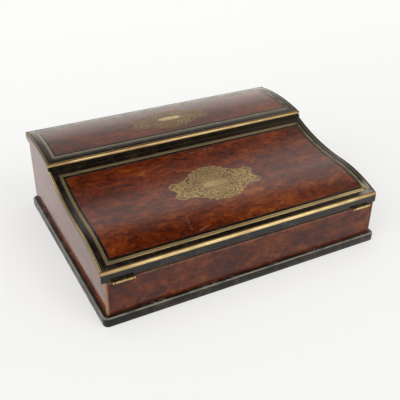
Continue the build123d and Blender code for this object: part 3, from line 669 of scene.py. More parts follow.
def gilding():
    """Gold leaf pressed into leather, broken where it has rubbed off."""
    gold = Surface("gilding", Metallic=1.0)
    rubbed = gold.clouds(2.2, detail=4.0).ramp(0.5, 0.66)
    colour = gold.mix(rubbed, (0.8, 0.56, 0.22), (0.22, 0.11, 0.05))
    return gold.dressed(colour, rubbed.ramp(0.0, 1.0, 0.32, 0.6), rubbed, 0.04)


clear_glass = bottle_glass()
ink_finish = dried_ink()
gold_leaf = gilding()

# %% [markdown]
# ## Two curved panels
# The flap's top is an ogee: a circle arc that falls away to the front joins a hollow arc
# that climbs to the back, both level where they meet. The lid's top is a single crowned
# arc. Splines could be fitted too, but an arc has an exact parallel at any depth, and
# those parallels place everything that is laid into the panels.

# %% The curves
join_y, join_z = -62.0, 78.9
crest_radius, hollow_radius = 166.0, 250.0
crown_y, crown_z, crown_radius = 84.83, 110.6, 239.07


def flap_height(y, depth=0.0):
    """Height of the ogee over a place y, less a depth: before the join, the crest's
    centre height plus its arc; behind the join, the hollow's centre height minus its arc."""
    before = np.minimum(y - join_y, 0)
    behind = np.maximum(y - join_y, 0)
    crest = join_z - crest_radius + np.sqrt((crest_radius - depth) ** 2 - before**2)
    hollow = join_z + hollow_radius - np.sqrt((hollow_radius + depth) ** 2 - behind**2)
    return np.where(y < join_y, crest, hollow)


def lid_height(y, depth=0.0):
    """Height of the crown over a place y, less a depth: the top of one long arc."""
    return crown_z - crown_radius + np.sqrt((crown_radius - depth) ** 2 - (y - crown_y) ** 2)


def drape(height, x, y, depth):
    """Points (x, y, height(y, depth)), from arrays that broadcast together."""
    x, y, depth = np.broadcast_arrays(x, y, depth)
    return np.stack([x, y, height(y, depth)], axis=-1)


front_fall = np.degrees(np.arctan(flap_height(-125.0) - flap_height(-126.0)))
print("the flap falls at", round(float(front_fall), 1), "degrees at its front edge")

# %% [markdown]
# ## Frames
# Each panel is framed, from the edge inwards, by a wide black band, a brass line and a
# thin black line. A frame could be four strips; here one profile is carried round two
# rectangles at once, an outer and an inner one, and the corners come out mitred. Hands
# and sleeves rub such lines unevenly, so each mesh also says how rubbed its points are;
# along the back of the lid that mark is a painted reflection of the glare there.


# %% Mitred frames
def arris(width, top, bottom, ease):
    """A strip's profile as (place across, depth): a flat top between two rounded edges."""
    turn = np.radians([0.0, 30.0, 60.0, 90.0])
    side = np.stack([ease * (1 - np.cos(turn)), top + ease * (1 - np.sin(turn))], axis=1)
    other = side[::-1] * (-1, 1) + (width, 0)
    return np.concatenate([[(0, bottom)], side, [(width / 2, top)], other, [(width, bottom)]])


def round_rectangle(half_x, y_min, y_max, steps):
    """Walks round a rectangle, side by side: points a share from one corner to the next."""
    corners = np.array([(-half_x, y_min), (half_x, y_min), (half_x, y_max), (-half_x, y_max)])
    share = np.linspace(0, 1, steps, endpoint=False)[None, :, None]
    return (corners[:, None] * (1 - share) + np.roll(corners, -1, 0)[:, None] * share).reshape(-1, 2)


unworn = (0.0, 1e6)
left_end, left_fade = -165.0, 40.0
hand_corner, corner_fade = 276.0, 6.0


def frame_shell(height, outer, inner, top, bottom, wear_and_sheen_rows=unworn, ease=0.2, steps=56):
    """A mitred frame on a curved panel: points a share across from outer to inner. It is
    marked rubbed more and more from the first to the second of two places along y, though
    little near its left end, and at the front right corner, where x minus y is largest;
    the rows at the back of the lid are a painted reflection, not wear."""
    around, within = round_rectangle(*outer, steps), round_rectangle(*inner, steps)
    profile = arris(outer[0] - inner[0], top, bottom, ease)
    share = profile[:, 0] / profile[-1, 0]
    plan = around[:, None] * (1 - share[:, None]) + within[:, None] * share[:, None]
    x, y = plan[..., 0], plan[..., 1]
    start, end = wear_and_sheen_rows
    rubbed = np.clip((y - start) / (end - start), 0, 1)
    rubbed = rubbed * np.clip((x - left_end) / left_fade, 0.1, 1)
    front_right = np.clip((x - y - hand_corner) / corner_fade, 0, 1)
    rubbed = np.maximum(rubbed, 0.8 * front_right)
    return shell(drape(height, x, y, profile[:, 1]), ring=True, rubbed=rubbed)


flap_plans = [  # half_x, y_min, y_max of each rectangle, from the edge inwards
    (170.0, -127.65, 32.6), (163.9, -122.65, 25.1), (160.6, -119.35, 21.8), (157.6, -116.35, 18.8)]
lid_plans = [(170.0, 36.0, 127.0), (163.9, 43.6, 120.5), (160.6, 46.9, 117.2), (157.6, 49.9, 114.2)]
panels = [("flap", flap_height, flap_plans), ("lid", lid_height, lid_plans)]
inlay_depth = 1.2
frame_kinds = [("border", "ebonised_wood", 0.05), ("stringing", "brass_inlay", 0.0),
               ("inner_line", "ebonised_wood", 0.05)]
# Rows marked rubbed along y: the flap's brass line is worn bright towards its front, while the lid's black
# border and inner line turn pale towards the back, a painted reflection of the glare along the lid's back
# edge.
wear_and_sheen_frames = {
    "flap_stringing": (-105.0, -117.0),
    "lid_border": (112.0, 124.0),
    "lid_inner_line": (108.0, 116.0),
}

for (body, height, plans), inlay in zip(panels, (inlaid_brass, hazy_inlay)):
    for (kind, slot, top), outer, inner in zip(frame_kinds, plans, plans[1:]):
        node = f"{body}_{kind}"
        material = inlay if kind == "stringing" else ebonised_frame
        made = frame_shell(height, outer, inner, top, inlay_depth, wear_and_sheen_frames.get(node, unworn))
        piece(node + "_frame", [made], body, material, [node])
    print(body, "frames:", [round(a[0] - b[0], 1) for a, b in zip(plans, plans[1:])], "mm wide")

# %% [markdown]
# ## Veneers
# The burr leaf fills the inside of the frames. Old veneer is never quite flat. A bump
# could hint at that; here the leaf is a grid that follows the panel's curve with real
# ripples of a few hundredths of a millimetre, which bend reflections as old wood does.


# %% Veneer leaves
leaf_depth = 0.22


def leaf_shell(height, half_x, y_min, y_max):
    """A leaf on a curved panel, a little lower than its frame: sections along y, each a
    rippled top over an even underside."""
    y = np.linspace(y_min, y_max, 90)[:, None]
    x = np.linspace(-half_x, half_x, 121)[None, :]
    ripple = 0.022 * np.sin(x / 7.3 + np.sin(y / 11.0)) * np.cos(y / 9.1 + np.sin(x / 17.0))
    top = drape(height, x, y, leaf_depth + ripple)
    below = drape(height, x[:, ::-1], y, np.full_like(ripple, inlay_depth))
    return shell(np.concatenate([top, below], axis=1))


for (body, height, plans), burr in zip(panels, (flap_burr, lid_burr)):
    piece(f"{body}_leaf", [leaf_shell(height, *plans[3])], body, burr, [f"{body}_veneer"])

# %% [markdown]
# ## Scrollwork plates
# In the middle of each panel lies a plate of brass scrolls on a dark ground, with a
# plain oval. A picture could be painted on, but real inlay has an edge, so each scroll
# is a thin strip along a line in plan. The lines are clothoids: their heading turns by
# a fixed rate plus a growing one, which winds a stem into a volute. One quarter is
# drawn and mirrored, as an engraver would fold the pattern.


# %% Strokes
def stroke(u, v, heading, length, bend, curl, steps):
    """A line from (u, v) whose heading in degrees, after a length s, has turned by
    bend times s plus curl times s squared over 2; its points are the sum of short steps."""
    s = np.linspace(0, length, steps)
    halfway = (s[1:] + s[:-1]) / 2
    turned = np.radians(heading + bend * halfway + curl * halfway**2 / 2)
    steps_along = np.stack([np.cos(turned), np.sin(turned)], axis=1) * np.diff(s)[:, None]
    return np.concatenate([[(u, v)], (u, v) + np.cumsum(steps_along, axis=0)])


crest_depth, foot_depth = -0.16, 0.3


def ribbon(height, centre, path, width, closed=False):
    """A raised strip along a path in plan: a low arch of five points across its width."""
    step = np.gradient(path, axis=0)
    if closed:
        step = np.roll(path, -1, axis=0) - np.roll(path, 1, axis=0)
    side = np.stack([-step[:, 1], step[:, 0]], axis=1)
    side /= np.linalg.norm(side, axis=1, keepdims=True)
    across = np.array([-0.5, -0.4, 0.0, 0.4, 0.5])
    depth = np.array([foot_depth, crest_depth * 0.6, crest_depth, crest_depth * 0.6, foot_depth])
    plan = path[:, None] + side[:, None] * (np.asarray(width)[..., None] * across)[..., None] + centre
    return shell(drape(height, plan[..., 0], plan[..., 1], leaf_depth + depth), closed, rubbed=0.6)


def plate(height, centre, loop, levels, rubbed=1.0):
    """A closed outline carried in and out: the outline at each (scale, depth)."""
    scale, depth = np.array(levels).T
    plan = loop[None] * scale[:, None, None] + centre
    return shell(drape(height, plan[..., 0], plan[..., 1], leaf_depth + depth[:, None]), rubbed=rubbed)


print("scrolls stand", -crest_depth, "mm proud of the leaf")


# %% The pattern
widths = {
    "scroll": lambda t: 0.45 + 0.55 * np.sin(np.pi * t) + 0.35 * (t > 0.9),
    "leaf": lambda t: 0.12 + 0.95 * np.sin(np.pi * t**0.8),
    "bar": np.ones_like,
    "pearl": lambda t: np.sqrt(np.clip(1 - (2 * t - 1) ** 2, 0.02, 1)),
}
point_counts = {"scroll": 26, "leaf": 9, "bar": 6, "pearl": 9}
stems = [  # u, v, heading, length, bend, curl, width
    (3, 30.0, -6, 46, -0.4, -0.31, 2.3), (4, 25.5, 8, 26, -3.0, -0.62, 1.9),
    (15, 30.0, -38, 27, 0.6, 0.0, 1.6), (25, 3.0, 35, 30, -3.0, 0.02, 2.2),
    (24, 11, -20, 24, 3.6, -0.45, 1.9), (42, 14.5, 20, 27, -9.5, -1.0, 2.0),
    (33, 15.5, 40, 17, -13, -1.2, 1.6), (14, 20, -60, 20, 3.0, 1.0, 1.8),
    (19, 9, 60, 18, -5, -0.9, 1.7), (8, 15.5, 20, 16, 5, 0.9, 1.6)]
leaves = [
    (12, 31.5, 5, 6, -7, 0, 2.6), (19, 27.6, 0, 6, -7, 0, 2.6), (25, 23.0, -4, 6, -7, 0, 2.6),
    (31, 18.6, -4, 6, -7, 0, 2.6), (9, 27, -60, 5, 6, 0, 2.2), (16, 25, -70, 5, 6, 0, 2.2),
    (22, 21, -80, 5, 6, 0, 2.2), (26, 16, -85, 4, 6, 0, 2.0), (34, 11, 65, 6, -6, 0, 2.6),
    (39, 10.5, 50, 6, -8, 0, 2.4), (29, 8, -40, 6, 6, 0, 2.4), (35, 6.5, -50, 5, 6, 0, 2.2),
    (45, 5, 50, 8, 6, 0, 2.6), (41, 5, -60, 5, 5, 0, 2.2), (46, 0, 0, 8.5, 0, 0, 3.4),
    (47, 1.8, 24, 10.5, 0, 0, 2.8), (52, 5, 60, 6, 8, 0, 2.4),
    (0, 25.5, 90, 9.5, 0, 0, 3.4), (1.6, 26, 62, 9.5, -2, 0, 2.8), (3, 24, 30, 6.5, -3, 0, 2.4)]
bars = [
    (0, 11.0, 0, 14, -0.6, -0.05, 1.2), (0, 13.4, 0, 11, -0.5, -0.05, 1.2),
    (0, 15.8, 0, 8.5, -0.4, 0, 1.2), (0, 18.2, 0, 9.5, -0.3, 0, 1.2),
    (0, 20.6, 0, 7, 0, 0, 1.2), (0, 23, 0, 5, 0, 0, 1.2)]
pearls = [  # u, v, radius
    (15, 12, 1.9), (19.5, 15.5, 1.7), (22, 6, 1.9), (28, 14, 1.6), (33, 3.6, 1.6), (38, 8, 1.5),
    (12, 22.5, 1.5), (43.5, 2.6, 1.4), (6, 20, 1.3), (26.5, 0, 2.1), (31, 0, 1.8), (35.2, 0, 1.6),
    (39, 0, 1.5), (42.5, 0, 1.4), (18, 24.5, 1.3), (25, 18, 1.4), (12.5, 17.5, 1.3), (50, 9.2, 1.6)]
ray_angles = np.radians(np.arange(0, 91, 15))
ray_rows = zip(16.5 * np.cos(ray_angles), 5.9 * np.sin(ray_angles),
               np.degrees(np.arctan2(np.sin(ray_angles) * 2.0, np.cos(ray_angles))))
rays = [(*row, 3.6, 0, 0, 1.3) for row in ray_rows]
rows_by_kind = (("scroll", stems), ("leaf", leaves), ("bar", bars), ("leaf", rays))
strokes = [(kind, *row) for kind, rows in rows_by_kind for row in rows]
strokes += [("pearl", u - radius, v, 0, 2 * radius, 0, 0, 2 * radius) for u, v, radius in pearls]
print(len(strokes), "strokes in a quarter of the pattern")


# %% The plates
def reach(turn, width, height, bulge, wing, lobe):
    """How far a plate's outline is from its centre: the farthest, in each direction, of
    two ellipses, a rectangle, and four pairs of circles at the rectangle's corners."""
    c, s = np.cos(turn), np.sin(turn)
    end = width / 2 - lobe
    oval = 1 / np.hypot(2 * c / bulge, 2 * s / height)
    oval = np.maximum(oval, 1 / np.hypot(c / bulge / 0.72, s / height / 0.31))
    bar = np.minimum(end / np.abs(c).clip(1e-6), wing / 2 / np.abs(s).clip(1e-6))
    corners = [(sx * x, sy * wing / 2) for x in (end, end - 1.5 * lobe) for sx in (-1, 1) for sy in (-1, 1)]
    p, q = np.array(corners).T[:, :, None]
    along, off = p * c + q * s, p * s - q * c
    circles = np.where((np.abs(off) < lobe) & (along > 0), along + np.sqrt((lobe**2 - off**2).clip(0)), 0)
    return np.maximum(np.maximum(oval, bar), circles.max(axis=0))


def scalloped(loop, count, depth):
    """A closed outline whose edge swells and dips: each point is drawn towards the centre
    by depth times 1 minus |sin|, with count swells along the length of the line."""
    step = np.linalg.norm(np.roll(loop, -1, axis=0) - loop, axis=1)
    along = np.cumsum(step) / step.sum()
    dip = depth * (1 - np.abs(np.sin(np.pi * count * along)))
    return loop * (1 - dip / np.linalg.norm(loop, axis=1))[:, None]


drawn_size = (116, 69.35)
mirrorings = ((1, 1), (-1, 1), (1, -1), (-1, -1))


def scroll_plate(body, height, centre_y, size, wood, metal, boldness, oval_shine):
    """The plate of one panel: its ground, border, oval, and the strokes, which are scaled
    from the size they are drawn at, mirrored, and left out where a mirroring repeats."""
    centre = (0.0, centre_y)
    scale = np.array([size[0] / drawn_size[0], size[1] / drawn_size[1]])
    turn = np.linspace(0, 2 * np.pi, 480, endpoint=False)
    rim = reach(turn, *size)[:, None] * np.stack([np.cos(turn), np.sin(turn)], axis=1)
    rim = scalloped(rim, 52, 1.1)
    shares = np.linspace(0.93, 0.02, 15)
    levels = [(share, 0.75) for share in shares[::-1]] + [(1, 0.75), (1, -0.04), (0.995, -0.06)]
    ground = plate(height, centre, rim, levels + [(share, -0.06) for share in shares])
    piece(f"{body}_scroll_ground", [ground], body, wood, [f"{body}_cartouche"])
    oval_levels = [(1, 0.2), (1, -0.1), (0.95, -0.14), (0.5, -0.16), (0.02, -0.16)]
    oval = 2 * np.stack([np.cos(turn[::6]), np.sin(turn[::6])], axis=1) * scale
    inset = 1 - 0.6 / np.linalg.norm(rim, axis=1, keepdims=True)
    brasses = [ribbon(height, centre, rim * inset, 1.3 * boldness, True),
               ribbon(height, centre, oval * (11.0, 4.2), 1.1, True),
               plate(height, centre, oval * (8.6, 2.9), oval_levels, oval_shine)]
    for kind, *numbers, width in strokes:
        count = point_counts[kind]
        line = stroke(*numbers, count) * scale
        swell = widths[kind](np.linspace(0, 1, count)) * width * scale.mean() * boldness
        drawn = []
        for flip in mirrorings:
            flipped = line * flip
            repeats = [np.allclose(flipped, other[::way]) for other in drawn for way in (1, -1)]
            if not any(repeats):
                drawn.append(flipped)
                brasses.append(ribbon(height, centre, flipped, swell))
    piece(f"{body}_scrolls", brasses, body, metal, [f"{body}_cartouche"])
    print(body, "plate:", len(brasses), "brass pieces")


flap_plate_y, flap_plate = -46.675, (110.0, 68.0, 61.0, 20.0, 7.0)
lid_plate_y, lid_plate = 79.4, (105.0, 50.0, 56.0, 16.0, 5.5)
scroll_plate("flap", flap_height, flap_plate_y, flap_plate, scroll_wood, scroll_brass, 0.85, 0.55)
scroll_plate("lid", lid_height, lid_plate_y, lid_plate, hazy_wood, hazy_brass, 0.55, 1.0)

# %% [markdown]
# ## Beads and nosings
# A half-round brass bead runs down each side of both panels, and a thicker rounded
# nosing guards their front edges. A bevelled curve could give such rods; here one profile
# is carried along a line, because the mesh can then also say where hands have rubbed it
# bright, and where a painted highlight runs along it. The ends of a nosing are drawn in a
# little so that they catch the light.


# %% Side beads
def bead_shell(height, x, y_min, y_max, rub_and_highlight, width=3.0, depth=4.0):
    """A half-round bead down a curved edge: half a circle on top of two straight sides,
    most rubbed along its crest and near both ends, where hands take hold; the bright crest
    is partly wear and partly a painted highlight."""
    turn = np.linspace(np.pi, 0, 13)
    radius = width / 2
    across = np.concatenate([[-radius], radius * np.cos(turn), [radius]])
    down = np.concatenate([[depth], radius - radius * np.sin(turn), [depth]])
    y = np.linspace(y_min, y_max, 70)[:, None]
    crest = np.concatenate([[0], np.sin(turn), [0]])
    share = (y - y_min) / (y_max - y_min)
    wear = np.interp(share, [0.0, 0.4, 0.75, 1.0], [0.7, 0.3, 0.25, 1.5])
    # The crest is painted bright: partly wear, partly a painted highlight along the bead.
    rubbed = np.clip(rub_and_highlight * crest * wear, 0, 1)
    return shell(drape(height, x + across[None, :], y, down[None, :]), rubbed=rubbed)


bead_x = 171.5
for (body, height, plans), rub_and_highlight in zip(panels, (1.0, 0.15)):
    ends = plans[0][1:]
    beads = [bead_shell(height, -bead_x, *ends, rub_and_highlight), bead_shell(height, bead_x, *ends, 0.12)]
    piece(f"{body}_side_beads", beads, body, bead_brass, [f"{body}_side_edgings"])


# %% Nosings
def nosing_shell(y_min, y_max, z_min, z_max, under, keen, radius=2.0, half_length=173.0):
    """A nosing: a flat-backed bar whose top front edge is a quarter circle and whose lower
    front edge is bevelled by `under`. It is bright on its front face and dull underneath and
    where it meets the wood, partly from wear and partly as a painted highlight; a keener one
    turns dull in a shorter way, which narrows the painted highlight."""
    turn = np.linspace(np.pi, np.pi / 2, 12)
    y = np.concatenate([[y_max, y_min + under, y_min], y_min + radius + radius * np.cos(turn), [y_max]])
    z = np.concatenate([[z_min, z_min, z_min + under], z_max - radius + radius * np.sin(turn), [z_max]])
    # The rubbed shares make the front face and round bright and the top dull: partly wear, partly a painted
    # highlight, which a higher power makes narrower.
    rubbed = np.concatenate([[0.0, 0.1, 0.7], 0.06 + 0.94 * np.cos(np.pi - turn) ** keen, [0.06]])
    profile = np.stack([y, z], axis=1)
    middle = np.array([y_max, (z_min + z_max) / 2])
    inset = np.array([0.0, 0.2, 0.6, 1.3, 3.0, 36.0])
    shrink = np.array([0.68, 0.82, 0.92, 0.98, 1.0, 1.0])
    wear = inset / inset[-1]
    x = np.concatenate([-half_length + inset, half_length - inset[::-1]])
    size = np.concatenate([shrink, shrink[::-1]])
    rubbed = rubbed * np.concatenate([0.4 + 0.6 * wear, 0.15 + 0.85 * wear[::-1]])[:, None]
    points = middle + (profile[None] - middle) * size[:, None, None]
    ends = np.broadcast_to(x[:, None, None], points.shape[:2] + (1,))
    return shell(np.concatenate([ends, points], axis=2), rubbed=rubbed)


nosings = {"flap": (-129.75, -127.65, 60.87, 65.37, 0.4, 4), "lid": (33.0, 36.0, 100.36, 105.56, 1.7, 9)}
for body, numbers in nosings.items():
    piece(f"{body}_nose", [nosing_shell(*numbers)], body, polished_brass, [f"{body}_nosing"])

# %% [markdown]
# ## Plinth
# The box stands on a black moulding with a rounded top edge, mitred at its corners and
# worn pale along its arris, where the pale is partly wear and partly a painted highlight.
# A plain box with a bevel would lose the mitres, so each rail is one profile carried
# between two lines at once: an outer one, which turns half of each rounded corner, and a
# straight inner one.


# %% Plinth rails
def rail_shell(half_length, half_width, depth=14.0, corner=6.0, height=11.0, edge=2.5):
    """The rail along the front: profile points are shares of the way in, and heights;
    the outer line is half a corner arc, a straight run and half a corner arc. The two
    mitred end sections are set a little lower, which draws the joint as a fine groove."""
    turn = np.radians(np.linspace(0, 90, 8))
    inward = np.concatenate([[0.2, 0.0, 0.0], edge - edge * np.cos(turn), [depth - 0.4, depth, depth]])
    up = np.concatenate([[0.0, 0.3, 4.0], height - edge + edge * np.sin(turn), [height, height - 0.4, 0.0]])
    # Rubbed most halfway round the top edge: the pale there is partly wear and partly a painted highlight
    # along the arris.
    rubbed = np.concatenate([[0.0, 0.0, 0.0], np.sin(2 * turn) ** 5, [0.0, 0.0, 0.0]])
    arc = np.radians(np.linspace(225, 270, 7))
    arc_x = corner * np.cos(arc) - half_length + corner
    arc_y = corner * np.sin(arc) - half_width + corner
    run = np.linspace(-half_length + corner, half_length - corner, 40)[1:-1]
    x = np.concatenate([arc_x, run, -arc_x[::-1]])
    y = np.concatenate([arc_y, np.full_like(run, -half_width), arc_y[::-1]])
    inner_x = x * (half_length - depth) / x[-1]
    share = inward / depth
    plan_x = x[:, None] * (1 - share) + inner_x[:, None] * share
    plan_y = y[:, None] * (1 - share) + (depth - half_width) * share
    groove = np.zeros_like(plan_x)
    groove[[0, -1]] = 0.25
    plan_z = np.maximum(up[None] - groove * (up > 5), 0)
    return np.stack([plan_x, plan_y, plan_z], axis=-1), rubbed


def turned(points, quarter):
    """Points turned about the vertical by quarter turns."""
    x, y = points[..., 0], points[..., 1]
    for _ in range(quarter):
        x, y = -y, x
    return np.stack([x, y, points[..., 2]], axis=-1)


half_sizes = (175.0, 136.0)
for quarter, side in enumerate(("front", "right", "back", "left")):
    rail, rubbed = rail_shell(*(half_sizes if quarter % 2 == 0 else half_sizes[::-1]))
    made = [shell(turned(rail, quarter), rubbed=rubbed)]
    piece(f"plinth_rail_{side}", made, "box", ebonised_worn, [f"plinth_{side}"])

# %% [markdown]
# ## Boards
# The walls, the fittings and the cores of the two panels could be drawn again, but the
# CAD solids already have their shape, with the recesses cut for the hinges. What they
# lack is the soft arris that sandpaper leaves, and veneer only on the faces that show.
# A copy is merged into whole faces, each face is given a finish by the way it points,
# and a Bevel modifier eases the edges.


# %% Eased boards
def eased(node, body, slot, inside, *outside, ease=0.3):
    """A copy of a CAD board with eased edges, or left crisp at 0: it takes the inside
    finish, but faces that point in a given direction take the finish given with it."""
    work = bmesh.new()
    work.from_mesh(nodes[node].data)
    bmesh.ops.remove_doubles(work, verts=work.verts, dist=1e-6)
    if ease:
        bmesh.ops.dissolve_limit(work, angle_limit=radians(1), verts=work.verts, edges=work.edges)
    mesh = bpy.data.meshes.new(node + "_eased")
    work.to_mesh(mesh)
    work.free()
    made = finished(mesh.name, mesh, body, inside, [node], sharp=20)
    ways = np.empty(len(mesh.polygons) * 3)
    mesh.polygons.foreach_get("normal", ways)
    kinds = np.zeros(len(mesh.polygons), dtype=np.int32)
    for number, (facing, material) in enumerate(outside, 1):
        mesh.materials.append(material)
        kinds[ways.reshape(-1, 3) @ np.array(facing) > 0.9] = number
    mesh.polygons.foreach_set("material_index", kinds)
    print(int((kinds > 0).sum()), "of them take an outside finish")
    if ease:
        bevel = made.modifiers.new("soft arris", "BEVEL")
        bevel.width = ease * to_metres
        bevel.segments = 2
        bevel.limit_method = "ANGLE"
        bevel.angle_limit = radians(35)
        bevel.harden_normals = True


left, right = ((-1, 0, 0), side_burr), ((1, 0, 0), side_burr)
eased("front_panel", "box", "burr_veneer", rosewood_along, ((0, -1, 0), front_burr), left, right)
eased("back_panel", "box", "burr_veneer", rosewood_along, ((0, 1, 0), back_burr), left, right)
eased("left_side", "box", "burr_veneer", rosewood_across, left)
eased("right_side", "box", "burr_veneer", rosewood_across, right)
for body in ("flap", "lid"):
    eased(f"{body}_board", body, "interior_wood", rosewood_along, left, right, ease=0)
for node in ("partition", "pen_tray", "bottom_board"):
    eased(node, "box", "interior_wood", rosewood_along)
for node in ("divider_left", "divider_right", "ink_stand_left", "ink_stand_right"):
    eased(node, "box", "interior_wood", rosewood_across)
for node in ("flap_front_lipping", "lid_back_lipping"):
    eased(node, node.split("_")[0], "ebonised_wood", ebonised)
# The lid's front lipping takes the shaded copy: painted shade under the lid's nosing.
eased("lid_front_lipping", "lid", "ebonised_wood", ebonised_shade)


# %% Corner strips
def corner_wood():
    """The solid strip at each front corner: veneer-brown, rubbed pale at the very corner,
    and paler on the left than on the right, a painted reflection of the bright room on the left."""
    wood = Surface("corner_strips", IOR=1.42)
    across = wood.along("x")
    # Pale at the very corner from wear, and four times as pale on the left as on the right: the extra pale on
    # the left is a painted reflection.
    corner = abs(across).ramp(165.6, 169.0) * across.ramp(-100.0, 100.0, 1.0, 0.25)
    patchy = wood.clouds(4.0, wood.stretched((1.0, 1.0, 3.0)), 4.0).ramp(0.25, 0.6, 0.45, 1.0)
    fibre = wood.clouds(0.8, wood.stretched((1.0, 1.0, 9.0)), 3.0)
    colour = wood.mix(fibre, (0.055, 0.014, 0.006), (0.12, 0.034, 0.014))
    colour = wood.mix(corner * patchy, colour, (0.36, 0.2, 0.105))
    return wood.dressed(colour, fibre.ramp(0.3, 0.7, 0.2, 0.36), fibre - patchy * 0.4, 0.06)


eased("corner_strips", "box", "brass", corner_wood(), ease=0.5)

# %% [markdown]
# ## Screws
# Four small slotted screws hold each hinge leaf. A head is a flat disc let into the
# brass with a straight slot. It could be cut with a Boolean; here the disc is drawn as
# strips across the slot, and the two strips inside it are simply set lower.


# %% Slotted heads
def screw_shell(centre, out, turn, radius=1.5, deep=0.45, thickness=0.8):
    """A screw head on a point, facing out: sections across the slot, each a chord of a
    circle, low between -0.22 and 0.22 mm and slightly domed elsewhere."""
    v = np.array([-1.49, -1.3, -0.9, -0.24, -0.22, 0.22, 0.24, 0.9, 1.3, 1.49])
    chord = np.sqrt(radius**2 - v**2)
    u = np.linspace(-1, 1, 9)
    top = 0.1 - 0.09 * (v[:, None] ** 2 + (chord[:, None] * u) ** 2) / radius**2
    top = np.where(np.abs(v[:, None]) < 0.23, -deep, top)
    local_u = np.concatenate([chord[:, None] * u, chord[:, None] * u[::-1]], axis=1)
    local_v = np.broadcast_to(v[:, None], local_u.shape)
    local_w = np.concatenate([top, np.full_like(top, -thickness)], axis=1)
    out = Vector(out)
    first = out.orthogonal().normalized()
    first.rotate(Matrix.Rotation(radians(turn), 3, out))
    axes = np.array([first, out.cross(first), out])
    local = np.stack([local_u, local_v, local_w], axis=-1)
    rubbed = np.where(local_w > 0, 1.0, 0.0)
    return shell(local @ axes + np.array(centre), rubbed=rubbed)


slope = radians(11.5)
screw_distance, screw_sinking = 8.2, 0.12
screw_x = (-155.5, -144.5, 144.5, 155.5)
# Each hinge: the y and z of its pin, the way in along its leaves, and the way they face.
front_hinge = (-132.7, 51.256, np.array([0, np.cos(slope), np.sin(slope)]),
               np.array([0, -np.sin(slope), np.cos(slope)]))
back_hinge = (132.7, 96.6, np.array([0, -1.0, 0]), np.array([0, 0, 1.0]))
hinge_rows = {
    "box_hinge_screws": ("box", [(*front_hinge, 1), (*back_hinge, 1)]),
    "flap_hinge_screws": ("flap", [(*front_hinge, -1)]),
    "lid_hinge_screws": ("lid", [(*back_hinge, -1)]),
}
for node, (body, rows) in hinge_rows.items():
    heads = []
    for y, z, inward, outward, way in rows:
        for number, x in enumerate(screw_x):
            centre = np.array([x, y, z]) + screw_distance * inward - way * screw_sinking * outward
            heads.append(screw_shell(centre, outward * way, 37 * number + 11))
    piece(node.replace("_hinge", ""), heads, body, hinge_brass, [node])

# %% [markdown]
# ## Ink bottles
# Two square glass bottles hold ink under hinged brass caps. The glass keeps its CAD
# shape. The ink inside and the turned rings and knobs of the caps are lathe work. A Screw
# modifier could spin them; here a profile of radius and height is swept round an
# upright axis as arrays, like every other shell.


# %% Lathe work
def turned_shell(profile, x, y, steps=40):
    """A (radius, height) profile swept once round the upright axis through (x, y)."""
    turn = np.linspace(0, 2 * np.pi, steps, endpoint=False)[None, :]
    radius, up = np.array(profile, dtype=float).T[:, :, None]
    upright = np.broadcast_to(up, (len(profile), steps))
    return shell(np.stack([x + radius * np.cos(turn), y + radius * np.sin(turn), upright], axis=-1))


def rounded(low, high, z, rise, sunk=0.3):
    """Profile points of a half-round ring between two radii, standing on a height: half
    an ellipse, with a foot at each end that is sunk a little into the cap."""
    turn = np.linspace(np.pi, 0, 9)
    middle, half = (low + high) / 2, (high - low) / 2
    ring = np.stack([middle + half * np.cos(turn), z + rise * np.sin(turn)], axis=1)
    return np.concatenate([ring[:1] - (0, sunk), ring, ring[-1:] - (0, sunk)])


ink_profile = [(0.3, 22.2), (9.3, 22.2), (9.35, 37.0), (9.3, 38.1), (8.7, 37.5), (6.0, 37.2), (0.3, 37.2)]
knob = [(2.9, 59.5), (2.9, 59.9), (2.4, 61.0), (1.5, 61.8), (1.5, 62.6), (2.3, 63.4), (2.6, 64.3),
        (2.3, 65.2), (1.3, 65.9), (0.2, 66.1)]
turnings = [rounded(13.1, 14.9, 55.1, 0.8), rounded(9.2, 10.4, 59.6, 0.9), knob]
bottle_y = 63.5
for side, x in (("left", -138.0), ("right", 138.0)):
    piece(f"ink_{side}", [turned_shell(ink_profile, x, bottle_y)], "box", ink_finish)
    turned_parts = [turned_shell(profile, x, bottle_y) for profile in turnings]
    piece(f"ink_cap_{side}_turning", turned_parts, f"ink_cap_{side}", hinge_brass)
print("cap knob height:", round(knob[-1][1] - knob[1][1], 1), "mm")

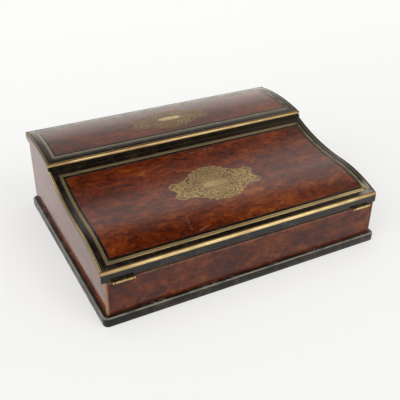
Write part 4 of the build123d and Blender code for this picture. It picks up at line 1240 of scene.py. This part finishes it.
# %% [markdown]
# ## Gilt lines
# A bookbinder's wheel leaves thin gold lines round a writing leather: a wide one and two
# hair lines inside it. They could be painted on with a mask, but real gilding stands a
# little proud, so they are frames like those on top, laid on the undersides.


# %% Tooled leather
box_front_y, flap_underside_z, lid_underside_z = -131.0, 51.704, 96.7
gilt_rules = [(5.0, 1.4), (7.6, 0.5), (14.0, 0.5)]  # inset from the leather's edge, width


def underside(front_z, rise):
    """The height of a flat underside: a straight line back from the box's front, less a
    depth."""
    return lambda y, depth: front_z + rise * (y - box_front_y) - depth


tooled = [("flap", underside(flap_underside_z, np.tan(slope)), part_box("flap_leather")),
          ("lid", underside(lid_underside_z, 0.0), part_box("lid_leather"))]
for body, height, (low, high) in tooled:
    half_x, y_min, y_max = 1000 * high[0], 1000 * low[1], 1000 * high[1]
    lines = []
    for inset, width in gilt_rules:
        outer = (half_x - inset, y_min + inset, y_max - inset)
        inner = (half_x - inset - width, y_min + inset + width, y_max - inset - width)
        lines.append(frame_shell(height, outer, inner, 0.05, -0.3, ease=0.02, steps=12))
    piece(f"{body}_gilt_lines", lines, body, gold_leaf)
    print(body, "leather", round(2 * half_x), "mm long, with", len(lines), "gilt lines")

# %% [markdown]
# ## Carried-over parts
# Hinge leaves and pins, caps, glued sheets and glass bottles are plain shapes. They could
# be rebuilt too, but the CAD nodes already have them right, so they only take a finish.

# %% Finishes for the rest
flap_leaves = ["flap_hinge_leaf_left", "flap_hinge_leaf_right"]
metal_words = ("hinge", "cap", "collar")
metal_parts = [n for n in nodes if any(word in n for word in metal_words) and "screws" not in n]
plain_finishes = [
    (hinge_brass, [name for name in metal_parts if name not in flap_leaves]),
    (leaf_brass, flap_leaves),
    (leather, ["flap_leather", "lid_leather"]),
    (lining, ["paper_lining"]),
    (baize, ["base_baize"]),
    (clear_glass, ["ink_bottle_left", "ink_bottle_right"]),
]
for material, names in plain_finishes:
    for name in names:
        nodes[name].data.materials.clear()
        nodes[name].data.materials.append(material)
print(sum(len(names) for _, names in plain_finishes), "CAD nodes keep their shape")

# %% Sizes and the end
low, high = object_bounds()
print("visual box in mm:", [round(1000 * v, 1) for v in high - low])
